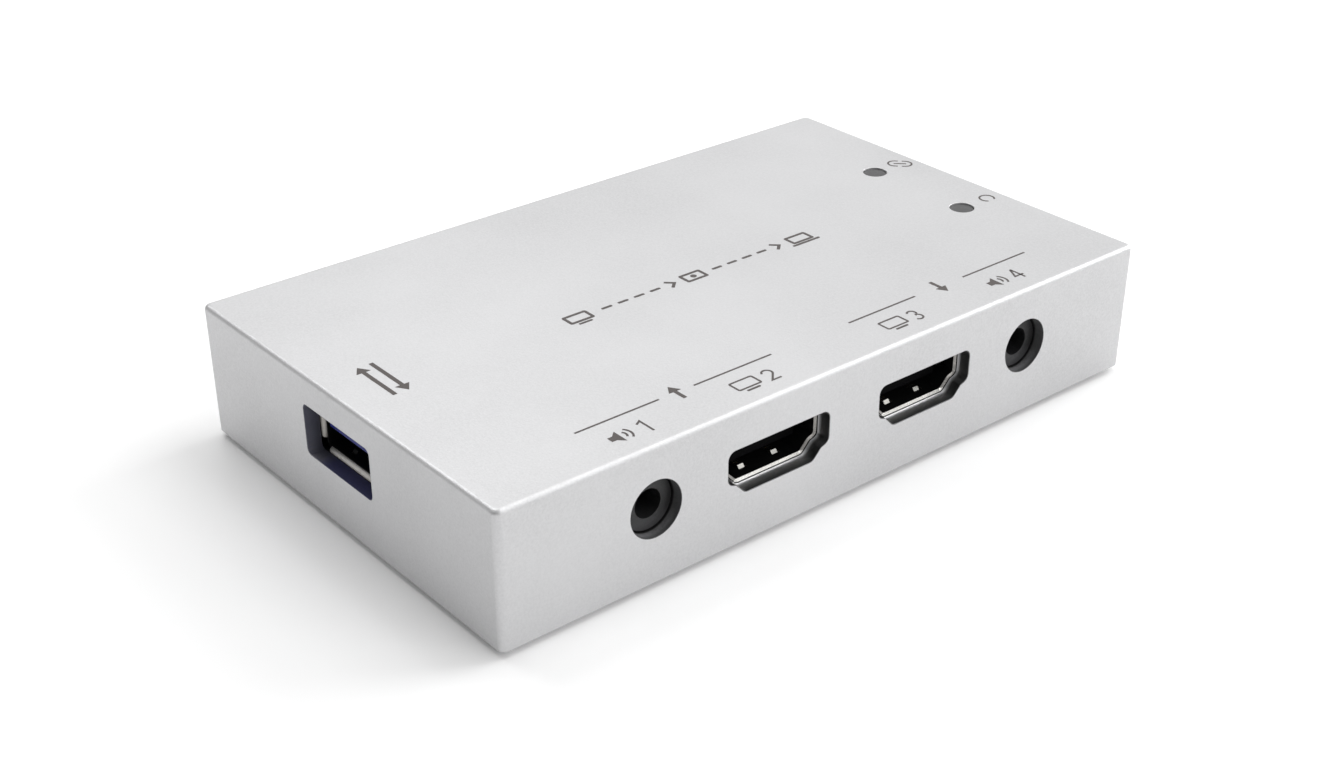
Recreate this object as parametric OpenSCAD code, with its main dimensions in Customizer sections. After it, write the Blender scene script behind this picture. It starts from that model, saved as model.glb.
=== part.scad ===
// Video capture box: a silver metal case with two video sockets and two audio jacks in its
// front face, a data socket in its left end and two indicator lights in its roof.
// X runs along the front face, Y from the front face to the back, and Z is up.
// The origin is on the surface that the feet stand on, under the middle of the case.

/* [Case] */
// Length of the case along its front face
case_length = 100; // [94:1:120]
// Depth of the case from its front face to its back
case_depth = 61.2; // [60:0.2:80]
// Height of the case without its feet
case_height = 17.3; // [17:0.1:24]
// Thickness of the four side walls
case_wall = 1.9; // [1.6:0.1:2.4]
// Thickness of the roof
roof_thickness = 2; // [1.5:0.1:2.2]
// Radius of the four upright corners
corner_radius = 1; // [0.8:0.1:2]
// Radius of the rounded edge round the roof
edge_radius = 0.6; // [0.3:0.1:0.7]
// Radius of the corners inside the case
cavity_radius = 1.5; // [1:0.1:3]

/* [Bottom cover and feet] */
// Thickness of the bottom cover
cover_thickness = 1.5; // [1.3:0.1:2]
// Width of the ledge in the walls that the cover lies against
ledge_width = 0.8; // [0.5:0.1:1]
// Clearance round the cover
cover_gap = 0.1; // [0.05:0.05:0.3]
// Thickness of the insulating sheet on the cover
sheet_thickness = 0.25; // [0.1:0.05:0.5]
// Distance from the insulating sheet to the walls and the bosses that it is notched round
sheet_margin = 0.6; // [0.3:0.1:2]
// Diameter of each foot
foot_diameter = 8; // [6:0.5:10]
// Whole thickness of each foot
foot_thickness = 1.3; // [1.1:0.1:2]
// Depth of the recess that each foot is stuck in
foot_recess = 0.5; // [0.3:0.1:0.7]
// Chamfer round the lower edge of each foot
foot_chamfer = 0.3; // [0.1:0.1:0.5]
// Distance along X from each cover screw to the foot beside it
foot_spacing = 10; // [9:0.5:14]

/* [Cover screws] */
// Thread diameter of the cover screws
screw_diameter = 2.5; // [2:0.5:2.5]
// Diameter of their countersunk heads
screw_head = 4.6; // [4.2:0.1:4.8]
// Whole length of each screw
screw_length = 12; // [10.5:0.5:13]
// Depth of each head below the face of the cover
screw_sink = 0.1; // [0.05:0.05:0.2]
// Depth of the cross recess in each head
cross_depth = 0.7; // [0.4:0.1:0.9]
// Length of each arm of the cross recess, from tip to tip
cross_length = 2.4; // [1.8:0.1:2.8]
// Width of each arm of the cross recess
cross_width = 0.6; // [0.4:0.1:0.8]
// Diameter of the posts under the roof and the bosses on the cover
post_diameter = 6; // [5:0.5:7]
// Distance from the inside of the walls to each post's axis
post_inset = 4.2; // [3.8:0.1:6]
// Radial clearance of a screw in its countersink and in the post that it is driven into
thread_gap = 0.04; // [0.02:0.01:0.1]
// Radial clearance of a screw in the cover, the boss and the board
screw_gap = 0.25; // [0.15:0.05:0.4]

/* [Board] */
// Thickness of the circuit board
board_thickness = 1.6; // [1:0.2:2]
// Clearance between the board and the walls
board_gap = 0.5; // [0.3:0.1:1]
// Corner radius of the board
board_radius = 1.5; // [0.5:0.5:3]
// How far socket legs and solder pins stand out below the board
pin_proud = 0.8; // [0.5:0.1:1.2]
// Clearance round a leg or pin where it passes through the board
pin_gap = 0.1; // [0.05:0.05:0.2]

/* [Sockets in the front face] */
// Height of the socket axes above the bottom edge of the case
port_height = 9.45; // [9.2:0.05:9.8]
// Distance of the middle of the socket row from the middle of the case
port_row_shift = 0.2; // [-1:0.1:1]
// Distance from the middle of the row to each video socket
video_offset = 11.7; // [11:0.1:13]
// Distance from the middle of the row to each audio jack
audio_offset = 29.6; // [27:0.1:31]
// Clearance between the inside of a wall and a socket's front
socket_gap = 0.05; // [0.05:0.05:0.2]

/* [Video sockets] */
// Inside width of the mouth
video_width = 14; // [13.8:0.05:14.2]
// Inside height of the mouth
video_height = 4.55; // [4.4:0.05:4.7]
// Thickness of the folded metal of every socket shell
shell_sheet = 0.3; // [0.2:0.05:0.4]
// Margin between the mouth and the opening cut in the wall
video_margin = 0.65; // [0.5:0.05:0.8]
// Width of the flange round the mouth, behind the wall
video_flange = 0.95; // [0.9:0.05:1.05]
// Length of the shell behind the wall
video_depth = 10.5; // [9.5:0.1:11]
// Gap between the shell and the board
video_standoff = 0.47; // [0.4:0.01:0.8]
// Height up the sides where the lower corners start to slant in, below the axis
video_slant_start = 0.67; // [0.6:0.01:0.74]
// Distance of the kink in each slanted corner from the axis, across
video_kink_across = 6.06; // [6:0.01:6.12]
// Distance of the kink in each slanted corner from the axis, down
video_kink_down = 0.99; // [0.94:0.01:1.04]
// Half of the width of the mouth's floor
video_floor_half = 4.85; // [4.75:0.01:5]
// Radius of the mouth's corners
video_corner_radius = 0.35; // [0.2:0.05:0.4]
// Radius of the kink in each slanted corner
video_kink_radius = 1.1; // [1.05:0.05:1.3]
// Width of the contact tongue
tongue_width = 10.8; // [10.4:0.1:11.4]
// Thickness of the contact tongue
tongue_thickness = 1.9; // [1.6:0.1:2.1]
// Distance from the mouth back to the tongue's front
tongue_setback = 1.7; // [1.2:0.1:2.2]
// Length of the insulator's block inside the back of the shell
video_block = 3; // [2:0.1:3.5]
// Length of the insulator's foot behind the shell
video_heel = 1; // [0.6:0.1:1.2]
// Number of contacts
video_contacts = 19; // [15:2:19]
// Distance from one contact to the next
video_pitch = 0.5; // [0.45:0.01:0.55]
// Width of each contact
video_contact_width = 0.3; // [0.2:0.02:0.34]
// Thickness of every fixed contact strip
contact_sheet = 0.16; // [0.1:0.02:0.2]
// How far a contact strip stands proud of its tongue
contact_proud = 0.03; // [0:0.01:0.06]
// Distance from a tongue's front to its contacts
contact_inset = 0.5; // [0.3:0.1:0.8]
// Length of each contact's solder foot on the board
solder_foot = 1.2; // [0.8:0.1:1.4]
// Distance of each latch spring from the middle of a shell's floor
latch_offset = 2.53; // [2.2:0.01:2.8]
// Width of each latch spring
latch_width = 0.95; // [0.8:0.05:1.1]
// Height of each latch spring above the shell's floor
latch_rise = 0.5; // [0.3:0.05:0.6]
// Length of each latch spring from its root to its bend
latch_length = 3.6; // [3:0.1:4]
// Distance from the mouth back to the tip of each latch spring
latch_setback = 1.1; // [0.9:0.1:1.4]
// Length of the slope at the tip of each latch spring
latch_slope = 0.75; // [0.5:0.05:0.9]
// Length of the root of each latch spring, in the floor behind its window
latch_root = 1; // [0.6:0.1:1.2]
// Clearance round a latch spring in its window
latch_gap = 0.2; // [0.1:0.05:0.3]
// Width of each leg of a shell, along the shell
leg_width = 1.2; // [0.8:0.1:1.5]
// Places of the legs of a video shell, behind its mouth
video_leg_places = [2, 8]; // [1:0.5:9]

/* [Audio jacks] */
// Diameter of the plug bore, for a 3.5 mm plug
audio_bore = 3.6; // [3.55:0.01:3.7]
// Diameter of the round nose
nose_diameter = 6.56; // [6.2:0.02:6.8]
// Radial gap round the nose in its hole in the wall
nose_gap = 0.22; // [0.1:0.02:0.3]
// Depth of the nose's face behind the front face of the case
nose_recess = 1.5; // [1.2:0.1:1.5]
// Width of the jack's body
audio_width = 7.2; // [7:0.1:7.6]
// Length of the jack's body from the nose's face
audio_length = 15; // [14.6:0.1:16]
// Height of the body above the axis
audio_crown = 3.2; // [3:0.1:3.6]
// Depth of the bore from the nose's face
bore_depth = 13.8; // [13.6:0.1:14]
// Depth at which the round wall of the bore ends and the contact pockets start
bore_wall = 4; // [3.6:0.1:4.4]
// Clearance all round the plug in the chamber behind the round bore
chamber_clear = 0.3; // [0.2:0.05:0.35]
// Thickness of the body's side walls beside the contact pockets
audio_side_wall = 0.45; // [0.4:0.05:0.6]
// Height of the contact pockets
pocket_height = 2.2; // [2:0.1:2.4]
// Height of the contact blades
blade_height = 1.8; // [1.4:0.1:1.8]
// Thickness of the contact blades
blade_sheet = 0.2; // [0.15:0.01:0.25]
// How far each blade's bend reaches into the plug bore
blade_reach = 0.45; // [0.3:0.05:0.5]
// Radius of the round root and solder pin of each blade
root_radius = 0.35; // [0.3:0.01:0.4]
// Clearance of a root in the jack's body
root_gap = 0.05; // [0.03:0.01:0.1]
// Clearance between a root and the side of its pocket
root_clear = 0.2; // [0.15:0.05:0.3]
// Distance from the nose's face to the root of the tip contact
tip_root = 5.2; // [5:0.1:5.4]
// Distance from the nose's face to the bend of the tip contact
tip_bend = 11.3; // [11:0.1:11.8]
// Distance from the nose's face to the root of the ring contact
ring_root = 13; // [12.8:0.1:13.2]
// Distance from the nose's face to the bend of the ring contact
ring_bend = 7.6; // [7.2:0.1:8]
// Length of each blade beyond its bend
blade_end = 1.4; // [1:0.1:1.5]
// Length of the slope from each blade to its bend
blade_slope = 1.5; // [1.2:0.1:1.8]
// How far each blade leans in from its root before the slope
blade_lean = 0.3; // [0.2:0.05:0.4]
// Width of the sleeve contact under the plug bore
sleeve_width = 1.6; // [1.2:0.1:2]
// Distance from the nose's face to the front of the sleeve contact
sleeve_start = 1.6; // [1.2:0.1:2]
// Distance from the nose's face to the back of the sleeve contact
sleeve_end = 3.4; // [3:0.1:3.6]
// Gap between the plug bore and the sleeve contact
sleeve_drop = 0.05; // [0.02:0.01:0.1]

/* [Data socket] */
// Distance from the front face of the case to the data socket's axis
data_setback = 31; // [30:0.1:33]
// Height of the data socket's axis above the bottom edge of the case
data_height = 10.3; // [10.1:0.05:10.6]
// Inside width of the mouth
data_width = 12.5; // [12.3:0.05:12.7]
// Inside height of the mouth
data_mouth = 5.12; // [5:0.02:5.3]
// Margin between the mouth and the opening cut in the wall
data_margin = 0.68; // [0.5:0.02:0.8]
// Corner radius of the opening cut in the wall
data_radius = 0.7; // [0.4:0.1:1]
// Length of the shell behind the wall
data_depth = 13.5; // [13:0.1:14]
// How far each flared lip slants out and forward
lip_flare = 0.4; // [0.25:0.05:0.45]
// Half of the length of the lips above and below the mouth
lip_long_half = 5.5; // [5:0.1:5.6]
// Half of the length of the lips at the ends of the mouth
lip_short_half = 1.8; // [1.4:0.1:1.9]
// Width of the tongue
data_tongue_width = 11.1; // [10.8:0.1:11.4]
// Thickness of the tongue
data_tongue = 1.84; // [1.75:0.01:1.9]
// Gap above the tongue, where the plug's shell goes
data_tongue_gap = 0.75; // [0.65:0.01:0.8]
// Distance from the mouth back to the tongue's front
data_tongue_setback = 0.5; // [0.4:0.1:0.8]
// Length of the insulator's block inside the back of the shell
data_block = 4.2; // [4:0.1:4.3]
// Length of the insulator's heel behind the shell
data_heel = 1; // [0.6:0.1:1.2]
// Places of the fixed contacts across the tongue
fixed_contact_places = [-4, -2, 0, 2, 4]; // [-5:0.5:5]
// Places of the spring contacts across the tongue
spring_contact_places = [-3.5, -1, 1, 3.5]; // [-5:0.5:5]
// Width of the fixed contacts
fixed_contact_width = 0.5; // [0.3:0.05:0.6]
// Width of the spring contacts
spring_contact_width = 0.6; // [0.4:0.05:0.7]
// Distance from the mouth back to the root of the spring contacts
spring_root = 9; // [8.8:0.1:9.1]
// Distance from the mouth back to the bend of the spring contacts
spring_bend = 4.9; // [4.6:0.1:5.2]
// Length of each spring contact beyond its bend
spring_tip = 0.6; // [0.5:0.05:0.7]
// Length of the slope from each spring contact to its bend
spring_slope = 1.2; // [1:0.1:1.4]
// Radius of the round root of each spring contact
spring_root_radius = 0.15; // [0.12:0.01:0.2]
// How far each spring contact's bend stands below the tongue
spring_rise = 0.4; // [0.3:0.05:0.45]
// Clearance round the spring contacts in their slots
spring_gap = 0.12; // [0.1:0.01:0.15]
// Depth of the slots that the spring contacts move in
spring_slot = 0.75; // [0.7:0.01:0.8]
// Places of the legs of the data shell, behind its mouth
data_leg_places = [3, 10]; // [2:0.5:11]

/* [Indicator lights] */
// Diameter of each light window in the roof
light_diameter = 3.3; // [3:0.1:4]
// Distance from the right end of the case to the lights
light_inset = 8; // [7.5:0.1:9]
// Distance from one light to the other
light_spacing = 16.3; // [14:0.1:20]
// Depth of each window below the roof's face
light_sink = 0.15; // [0.05:0.05:0.3]
// Radial clearance of a light pipe in the roof
light_gap = 0.05; // [0.03:0.01:0.1]
// Diameter of the collar of a light pipe under the roof
light_collar = 5; // [4.6:0.1:6]
// Thickness of that collar
light_collar_thickness = 0.8; // [0.5:0.1:1.2]
// Diameter of a light pipe's stem
light_stem = 2.6; // [2:0.1:2.8]
// Gap between a light pipe and its lamp
lamp_gap = 0.2; // [0.1:0.05:0.4]

/* [Chips and heat sink] */
// Side of the square capture processor
processor_side = 17; // [15:0.5:17.5]
// Height of the capture processor
processor_height = 1.4; // [1:0.1:1.6]
// Side of the square thermal pad
pad_side = 15; // [12:0.5:16]
// Thickness of the thermal pad
pad_thickness = 0.5; // [0.3:0.1:0.8]
// Side of the square heat sink
sink_side = 16; // [14:0.5:17]
// Whole height of the heat sink
sink_height = 5.4; // [4:0.1:5.8]
// Thickness of the heat sink's base
sink_base = 1.6; // [1:0.1:2]
// Number of fins on the heat sink
sink_fins = 6; // [4:1:7]
// Thickness of each fin
fin_thickness = 1; // [0.8:0.1:1.2]
// Side of the square video receiver
receiver_side = 14; // [13.4:0.1:14.2]
// Height of the video receiver
receiver_height = 1.3; // [1:0.1:1.6]
// Number of leads on each side of the receiver
receiver_leads = 16; // [10:1:16]
// Distance from one receiver lead to the next
receiver_pitch = 0.8; // [0.6:0.05:0.8]
// Side of the square video driver
driver_side = 9; // [7:0.5:9.5]
// Side of the square data bridge
bridge_side = 10; // [8:0.5:10.5]
// Side of each square audio converter
converter_side = 5; // [4:0.5:5.5]
// Height of the driver, the bridge and the converters
flat_chip_height = 0.9; // [0.7:0.1:1.2]
// Width of each memory chip
memory_width = 8; // [7:0.1:8.4]
// Depth of each memory chip
memory_depth = 11; // [10:0.1:11.3]
// Height of each memory chip
memory_height = 1; // [0.8:0.1:1.2]
// Width of the program memory
flash_width = 5; // [4.8:0.1:6]
// Depth of the program memory's body
flash_depth = 4; // [3.6:0.1:4.4]
// Height of the program memory
flash_height = 1.5; // [1.2:0.1:1.8]
// Length of a lead beyond its chip's body
lead_length = 1; // [0.8:0.05:1.1]
// Width of each lead
lead_width = 0.3; // [0.2:0.02:0.4]
// Thickness of each lead
lead_sheet = 0.2; // [0.15:0.01:0.3]

/* [Small parts on the board] */
// Width of each lamp
lamp_width = 2; // [1.6:0.1:3.2]
// Depth of each lamp
lamp_depth = 1.25; // [0.8:0.05:2]
// Height of each lamp
lamp_height = 0.8; // [0.5:0.05:1.2]
// Width of each crystal
crystal_width = 3.2; // [2.5:0.1:4]
// Depth of each crystal
crystal_depth = 2.5; // [2:0.1:3]
// Height of each crystal
crystal_height = 0.8; // [0.6:0.1:1.2]
// Side of each square power inductor
inductor_side = 5; // [4:0.1:5.4]
// Height of each power inductor
inductor_height = 3; // [2:0.1:4]
// Diameter of each storage capacitor
can_diameter = 5; // [4:0.1:5.2]
// Height of each storage capacitor's can
can_height = 5; // [4:0.1:6]
// Height of the base under each storage capacitor
can_base = 0.6; // [0.4:0.1:0.8]
// How far the base stands out beyond the can
can_base_margin = 0.15; // [0.1:0.05:0.3]
// Width of each voltage regulator
regulator_width = 6.5; // [6:0.1:6.8]
// Depth of each voltage regulator's body
regulator_depth = 3.5; // [3:0.1:3.8]
// Height of each voltage regulator
regulator_height = 1.6; // [1.4:0.1:1.8]
// Width of each surge guard
guard_width = 2.5; // [2:0.1:2.8]
// Depth of each surge guard
guard_depth = 1; // [0.8:0.1:1.2]
// Height of each surge guard
guard_height = 0.6; // [0.4:0.1:0.8]
// Width of the resettable fuse
fuse_width = 3.2; // [2.5:0.1:4]
// Depth of the resettable fuse
fuse_depth = 2.5; // [1.6:0.1:3]
// Height of the resettable fuse
fuse_height = 0.8; // [0.5:0.1:1.2]
// Width of each ceramic capacitor and resistor
small_width = 0.8; // [0.5:0.1:1.2]
// Length of each ceramic capacitor and resistor
small_length = 1.6; // [1:0.1:1.6]
// Height of each ceramic capacitor
ceramic_height = 0.8; // [0.5:0.1:1]
// Height of each resistor
resistor_height = 0.45; // [0.3:0.05:0.6]
// Number of ceramic capacitors in each of the two rows
ceramic_count = 8; // [4:1:8]
// Number of resistors in their row
resistor_count = 10; // [4:1:10]
// Distance from one small part to the next
row_pitch = 1.7; // [1.7:0.05:2]

/* [Hidden] */
$fn = 64;
// Overlap that makes a cut or a union pass clean through a face
overlap = 0.2;

// Levels
case_z0 = foot_thickness - foot_recess;
case_z1 = case_z0 + case_height;
roof_z = case_z1 - roof_thickness;
cover_z1 = case_z0 + cover_thickness;
port_z = case_z0 + port_height;
data_z = case_z0 + data_height;
axis_over_board = video_height / 2 + shell_sheet + video_standoff;
board_z1 = port_z - axis_over_board;
board_z0 = board_z1 - board_thickness;
data_over_board = data_z - board_z1;

// Places in plan
front_y = -case_depth / 2;
left_x = -case_length / 2;
cavity = [case_length - 2 * case_wall, case_depth - 2 * case_wall];
board = [cavity.x - 2 * board_gap, cavity.y - 2 * board_gap];
board_front_y = -board.y / 2;
post = [cavity.x / 2 - post_inset, cavity.y / 2 - post_inset];
foot_x = post.x - foot_spacing;
data_y = front_y + data_setback;
light_x = case_length / 2 - light_inset;
socket_front_y = front_y + case_wall + socket_gap;
data_front_x = left_x + case_wall + socket_gap;
nose_y = front_y + nose_recess;
video_in_x = port_row_shift - video_offset;
video_out_x = port_row_shift + video_offset;
audio_in_x = port_row_shift - audio_offset;
audio_out_x = port_row_shift + audio_offset;

// Screws
screw_z0 = case_z0 + screw_sink;
screw_head_height = (screw_head - screw_diameter) / 2;
screw_tip_z = screw_z0 + screw_length;
screw_run_out = 0.5;
foot_gap = 0.1;

// Places of the parts on the board, across from its middle and back from its front edge
processor_place = [4, 36];
receiver_place = [-14, 24.5];
driver_place = [14, 20.5];
bridge_place = [-22, 40];
memory_places = [[21.5, 32.4], [21.5, 44]];
flash_place = [37.4, 29];
converter_places = [[-29.8, 18], [30.2, 20]];
crystal_places = [[-9.5, 36], [-22, 48.5]];
inductor_places = [[31, 29], [31, 35.5], [-38, 42.5]];
can_places = [[-31.5, 40.5], [-31.5, 46.9], [37.6, 43]];
regulator_places = [[31.5, 42], [31.5, 47], [-11, 47]];
guard_spread = [-4.5, -1.5, 1.5, 4.5];
guard_row = 14.9;
fuse_place = [-28, 27];
ceramic_row = [-2, 26.5];
ceramic_column = [14.9, 30];
resistor_row = [0, 48];

// Points of an arc of radius r that rounds the corner b between a and c
function corner_arc(a, b, c, r, steps = 6) =
    let (
        u = (a - b) / norm(a - b),
        v = (c - b) / norm(c - b),
        half = acos(u * v) / 2,
        centre = b + (u + v) / norm(u + v) * r / sin(half),
        from = b + u * r / tan(half) - centre,
        to = b + v * r / tan(half) - centre,
        start = atan2(from.y, from.x),
        turn = (atan2(to.y, to.x) - start + 540) % 360 - 180
    )
    [for (i = [0 : steps]) centre + r * [cos(start + turn * i / steps), sin(start + turn * i / steps)]];

// An outline with each corner rounded by the radius at the same place in radii
function rounded_outline(points, radii) =
    let (count = len(points))
    [for (i = [0 : count - 1])
        each corner_arc(points[(i + count - 1) % count], points[i], points[(i + 1) % count], radii[i])];

// A closed outline, drawn clockwise, with each edge moved outward
function grown_outline(points, grow) =
    let (
        count = len(points),
        normals = [for (i = [0 : count - 1])
            let (step = points[(i + 1) % count] - points[i]) [-step.y, step.x] / norm(step)]
    )
    [for (i = [0 : count - 1])
        let (before = normals[(i + count - 1) % count], after = normals[i])
        points[i] + grow * (before + after) / (1 + before * after)];

// Outline of a strip of even thickness that bends along the points of a path
function strip_outline(path, thickness) =
    let (
        last = len(path) - 1,
        normals = [for (i = [0 : last - 1])
            let (step = path[i + 1] - path[i]) [-step.y, step.x] / norm(step)],
        offsets = [for (i = [0 : last])
            i == 0 ? normals[0]
            : i == last ? normals[last - 1]
            : (normals[i - 1] + normals[i]) / (1 + normals[i - 1] * normals[i])]
    )
    concat(
        [for (i = [0 : last]) path[i] + offsets[i] * thickness / 2],
        [for (i = [last : -1 : 0]) path[i] - offsets[i] * thickness / 2]
    );

// A flat shape in X and Z, drawn out along Y
module along_y(y0, y1) {
    translate([0, y1, 0]) rotate([90, 0, 0]) linear_extrude(y1 - y0) children();
}

// A flat shape in Y and Z, drawn out along X
module along_x(x0, x1) {
    translate([x0, 0, 0]) rotate([90, 0, 90]) linear_extrude(x1 - x0) children();
}

// A box between two corners
module block(low, high) {
    translate(low) cube(high - low);
}

// A rectangle with round corners
module rounded_rectangle(size, radius) {
    square([size.x - 2 * radius, size.y], center = true);
    square([size.x, size.y - 2 * radius], center = true);
    for (sx = [-1, 1], sy = [-1, 1]) {
        translate([sx * (size.x / 2 - radius), sy * (size.y / 2 - radius)]) circle(radius);
    }
}

// The four places of the posts, the bosses and the cover screws
module at_posts() {
    for (sx = [-1, 1], sy = [-1, 1]) {
        translate([sx * post.x, sy * post.y, 0]) children();
    }
}

// A place on top of the board
module on_board(place) {
    translate([place.x, board_front_y + place.y, board_z1]) children();
}

// A box that stands on the board, with its middle at the place
module board_box(size) {
    translate([-size.x / 2, -size.y / 2, 0]) cube(size);
}

// Section of the case from wall to wall, with the round edges of its roof
module case_section(width) {
    translate([-width / 2, 0]) square([width, case_height - edge_radius]);
    translate([-width / 2 + edge_radius, 0]) square([width - 2 * edge_radius, case_height]);
    for (side = [-1, 1]) {
        translate([side * (width / 2 - edge_radius), case_height - edge_radius]) circle(edge_radius);
    }
}

// One upright corner of the case, round in plan and over its top edge
module case_corner() {
    rotate_extrude() {
        square([corner_radius, case_height - edge_radius]);
        square([corner_radius - edge_radius, case_height]);
        intersection() {
            translate([corner_radius - edge_radius, case_height - edge_radius]) circle(edge_radius);
            square([corner_radius, case_height]);
        }
    }
}

// The outside of the case as a solid
module case_solid() {
    inner = [case_length / 2 - corner_radius, case_depth / 2 - corner_radius];
    translate([0, 0, case_z0]) {
        along_y(-inner.y, inner.y) case_section(case_length);
        along_x(-inner.x, inner.x) case_section(case_depth);
        for (sx = [-1, 1], sy = [-1, 1]) {
            translate([sx * inner.x, sy * inner.y, 0]) case_corner();
        }
    }
}

// Outline of a video socket's mouth, grown outward
module video_outline(grow) {
    half = video_width / 2;
    top = video_height / 2;
    right = [
        [half, top], [half, -video_slant_start],
        [video_kink_across, -video_kink_down], [video_floor_half, -top]
    ];
    left = [for (i = [3 : -1 : 0]) [-right[i].x, right[i].y]];
    corner = video_corner_radius + grow;
    kink = video_kink_radius - grow;
    radii = [corner, corner, kink, corner, corner, kink, corner, corner];
    polygon(rounded_outline(grown_outline(concat(right, left), grow), radii));
}

// Outline of the data socket's mouth, grown outward
module data_outline(grow) {
    square([data_width + 2 * grow, data_mouth + 2 * grow], center = true);
}

// The frame of a video socket: its origin is at the middle of the mouth, and +Y goes in
module at_video(x) {
    translate([x, socket_front_y, port_z]) children();
}

// The frame of an audio jack: its origin is at the middle of the nose's face, and +Y goes in
module at_audio(x) {
    translate([x, nose_y, port_z]) children();
}

// The frame of the data socket: its origin is at the middle of the mouth, and +Y goes in
module at_data() {
    translate([data_front_x, data_y, data_z]) rotate([0, 0, -90]) children();
}

// Openings for the sockets in the walls
module wall_openings() {
    cut = case_wall + socket_gap + overlap;
    for (x = [video_in_x, video_out_x]) {
        at_video(x) along_y(-cut, overlap) video_outline(video_margin);
    }
    for (x = [audio_in_x, audio_out_x]) {
        at_audio(x) rotate([-90, 0, 0]) {
            translate([0, 0, -nose_recess - overlap])
                cylinder(r = nose_diameter / 2 + nose_gap, h = case_wall + 2 * overlap);
        }
    }
    at_data() along_y(-cut, overlap) {
        rounded_rectangle(
            [data_width + 2 * data_margin, data_mouth + 2 * data_margin], data_radius);
    }
}

// The two places of the indicator lights
module at_light(side) {
    translate([light_x, side * light_spacing / 2, 0]) children();
}

// Case: the roof and the four walls in one piece, with the posts under the roof
module upper_case() {
    bore_top = screw_tip_z + screw_run_out;
    color("gainsboro") difference() {
        union() {
            difference() {
                case_solid();
                translate([0, 0, case_z0 - overlap]) {
                    linear_extrude(roof_z - case_z0 + overlap) {
                        rounded_rectangle(cavity, cavity_radius);
                    }
                    linear_extrude(cover_thickness + overlap) {
                        rounded_rectangle(cavity + 2 * [ledge_width, ledge_width], cavity_radius);
                    }
                }
                wall_openings();
                for (side = [-1, 1]) {
                    at_light(side) translate([0, 0, roof_z - overlap])
                        cylinder(d = light_diameter, h = roof_thickness + 2 * overlap);
                }
            }
            at_posts() translate([0, 0, board_z1])
                cylinder(d = post_diameter, h = roof_z - board_z1 + overlap);
        }
        at_posts() translate([0, 0, board_z1 - overlap])
            cylinder(r = screw_diameter / 2 + thread_gap, h = bore_top - board_z1 + overlap);
    }
}

// Bottom cover: a plate inside the walls, with bosses that carry the board
module bottom_cover() {
    plate = cavity + 2 * [ledge_width - cover_gap, ledge_width - cover_gap];
    hole = screw_diameter / 2 + screw_gap;
    head = screw_head / 2 + thread_gap;
    neck = screw_diameter / 2 + thread_gap;
    color("silver") difference() {
        union() {
            translate([0, 0, case_z0]) linear_extrude(cover_thickness)
                rounded_rectangle(plate, cavity_radius);
            at_posts() translate([0, 0, cover_z1 - overlap])
                cylinder(d = post_diameter, h = board_z0 - cover_z1 + overlap);
        }
        at_posts() {
            translate([0, 0, case_z0 - overlap]) cylinder(r = hole, h = board_z0 - case_z0 + 2 * overlap);
            translate([0, 0, case_z0 - overlap]) cylinder(r = head, h = screw_sink + overlap);
            translate([0, 0, screw_z0]) cylinder(r1 = head, r2 = neck, h = screw_head_height);
        }
        at_feet() translate([0, 0, case_z0 - overlap])
            cylinder(d = foot_diameter + 2 * foot_gap, h = foot_recess + overlap);
    }
}

// Cover screws: four countersunk screws that clamp the board between the bosses and the posts
module cover_screws() {
    color("dimgray") at_posts() translate([0, 0, screw_z0]) difference() {
        union() {
            cylinder(d1 = screw_head, d2 = screw_diameter, h = screw_head_height);
            cylinder(d = screw_diameter, h = screw_length);
        }
        for (turn = [0, 90]) {
            rotate(turn) translate([-cross_length / 2, -cross_width / 2, -overlap])
                cube([cross_length, cross_width, cross_depth + overlap]);
        }
    }
}

// The four places of the feet
module at_feet() {
    for (sx = [-1, 1], sy = [-1, 1]) {
        translate([sx * foot_x, sy * post.y, 0]) children();
    }
}

// Rubber feet: four discs stuck in recesses of the cover
module rubber_feet() {
    radius = foot_diameter / 2;
    color("black") at_feet() {
        cylinder(r1 = radius - foot_chamfer, r2 = radius, h = foot_chamfer);
        translate([0, 0, foot_chamfer]) cylinder(r = radius, h = foot_thickness - foot_chamfer);
    }
}

// Insulating sheet: a thin film on the cover that keeps the solder pins off the metal
module insulating_sheet() {
    size = cavity - 2 * [sheet_margin, sheet_margin];
    notch = post_diameter / 2 + sheet_margin;
    color("ivory") translate([0, 0, cover_z1]) linear_extrude(sheet_thickness) difference() {
        rounded_rectangle(size, cavity_radius);
        for (sx = [0, 1], sy = [0, 1]) {
            mirror([sx, 0]) mirror([0, sy]) translate(post - [notch, notch]) square(2 * (notch + post_inset));
        }
    }
}

// Circuit board, with its screw holes and a hole for each leg and pin
module main_board() {
    color("darkgreen") difference() {
        translate([0, 0, board_z0]) linear_extrude(board_thickness) rounded_rectangle(board, board_radius);
        at_posts() translate([0, 0, board_z0 - overlap])
            cylinder(r = screw_diameter / 2 + screw_gap, h = board_thickness + 2 * overlap);
        for (x = [video_in_x, video_out_x]) {
            at_video(x) video_legs(pin_gap);
        }
        for (x = [audio_in_x, audio_out_x]) {
            at_audio(x) {
                audio_pin(tip_root, 1, root_gap + pin_gap);
                audio_pin(ring_root, -1, root_gap + pin_gap);
                sleeve_tail(pin_gap);
            }
        }
        at_data() {
            data_legs(pin_gap);
            data_tails(pin_gap);
        }
    }
}

// Legs of a video shell, grown by a clearance where they cut the board
module video_legs(grow) {
    bottom = -axis_over_board - board_thickness - pin_proud;
    half = video_width / 2;
    for (side = [0, 1], y = video_leg_places) {
        mirror([side, 0, 0])
            block([half - grow, y - leg_width / 2 - grow, bottom - grow],
                [half + shell_sheet + grow, y + leg_width / 2 + grow, 0]);
    }
}

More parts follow.
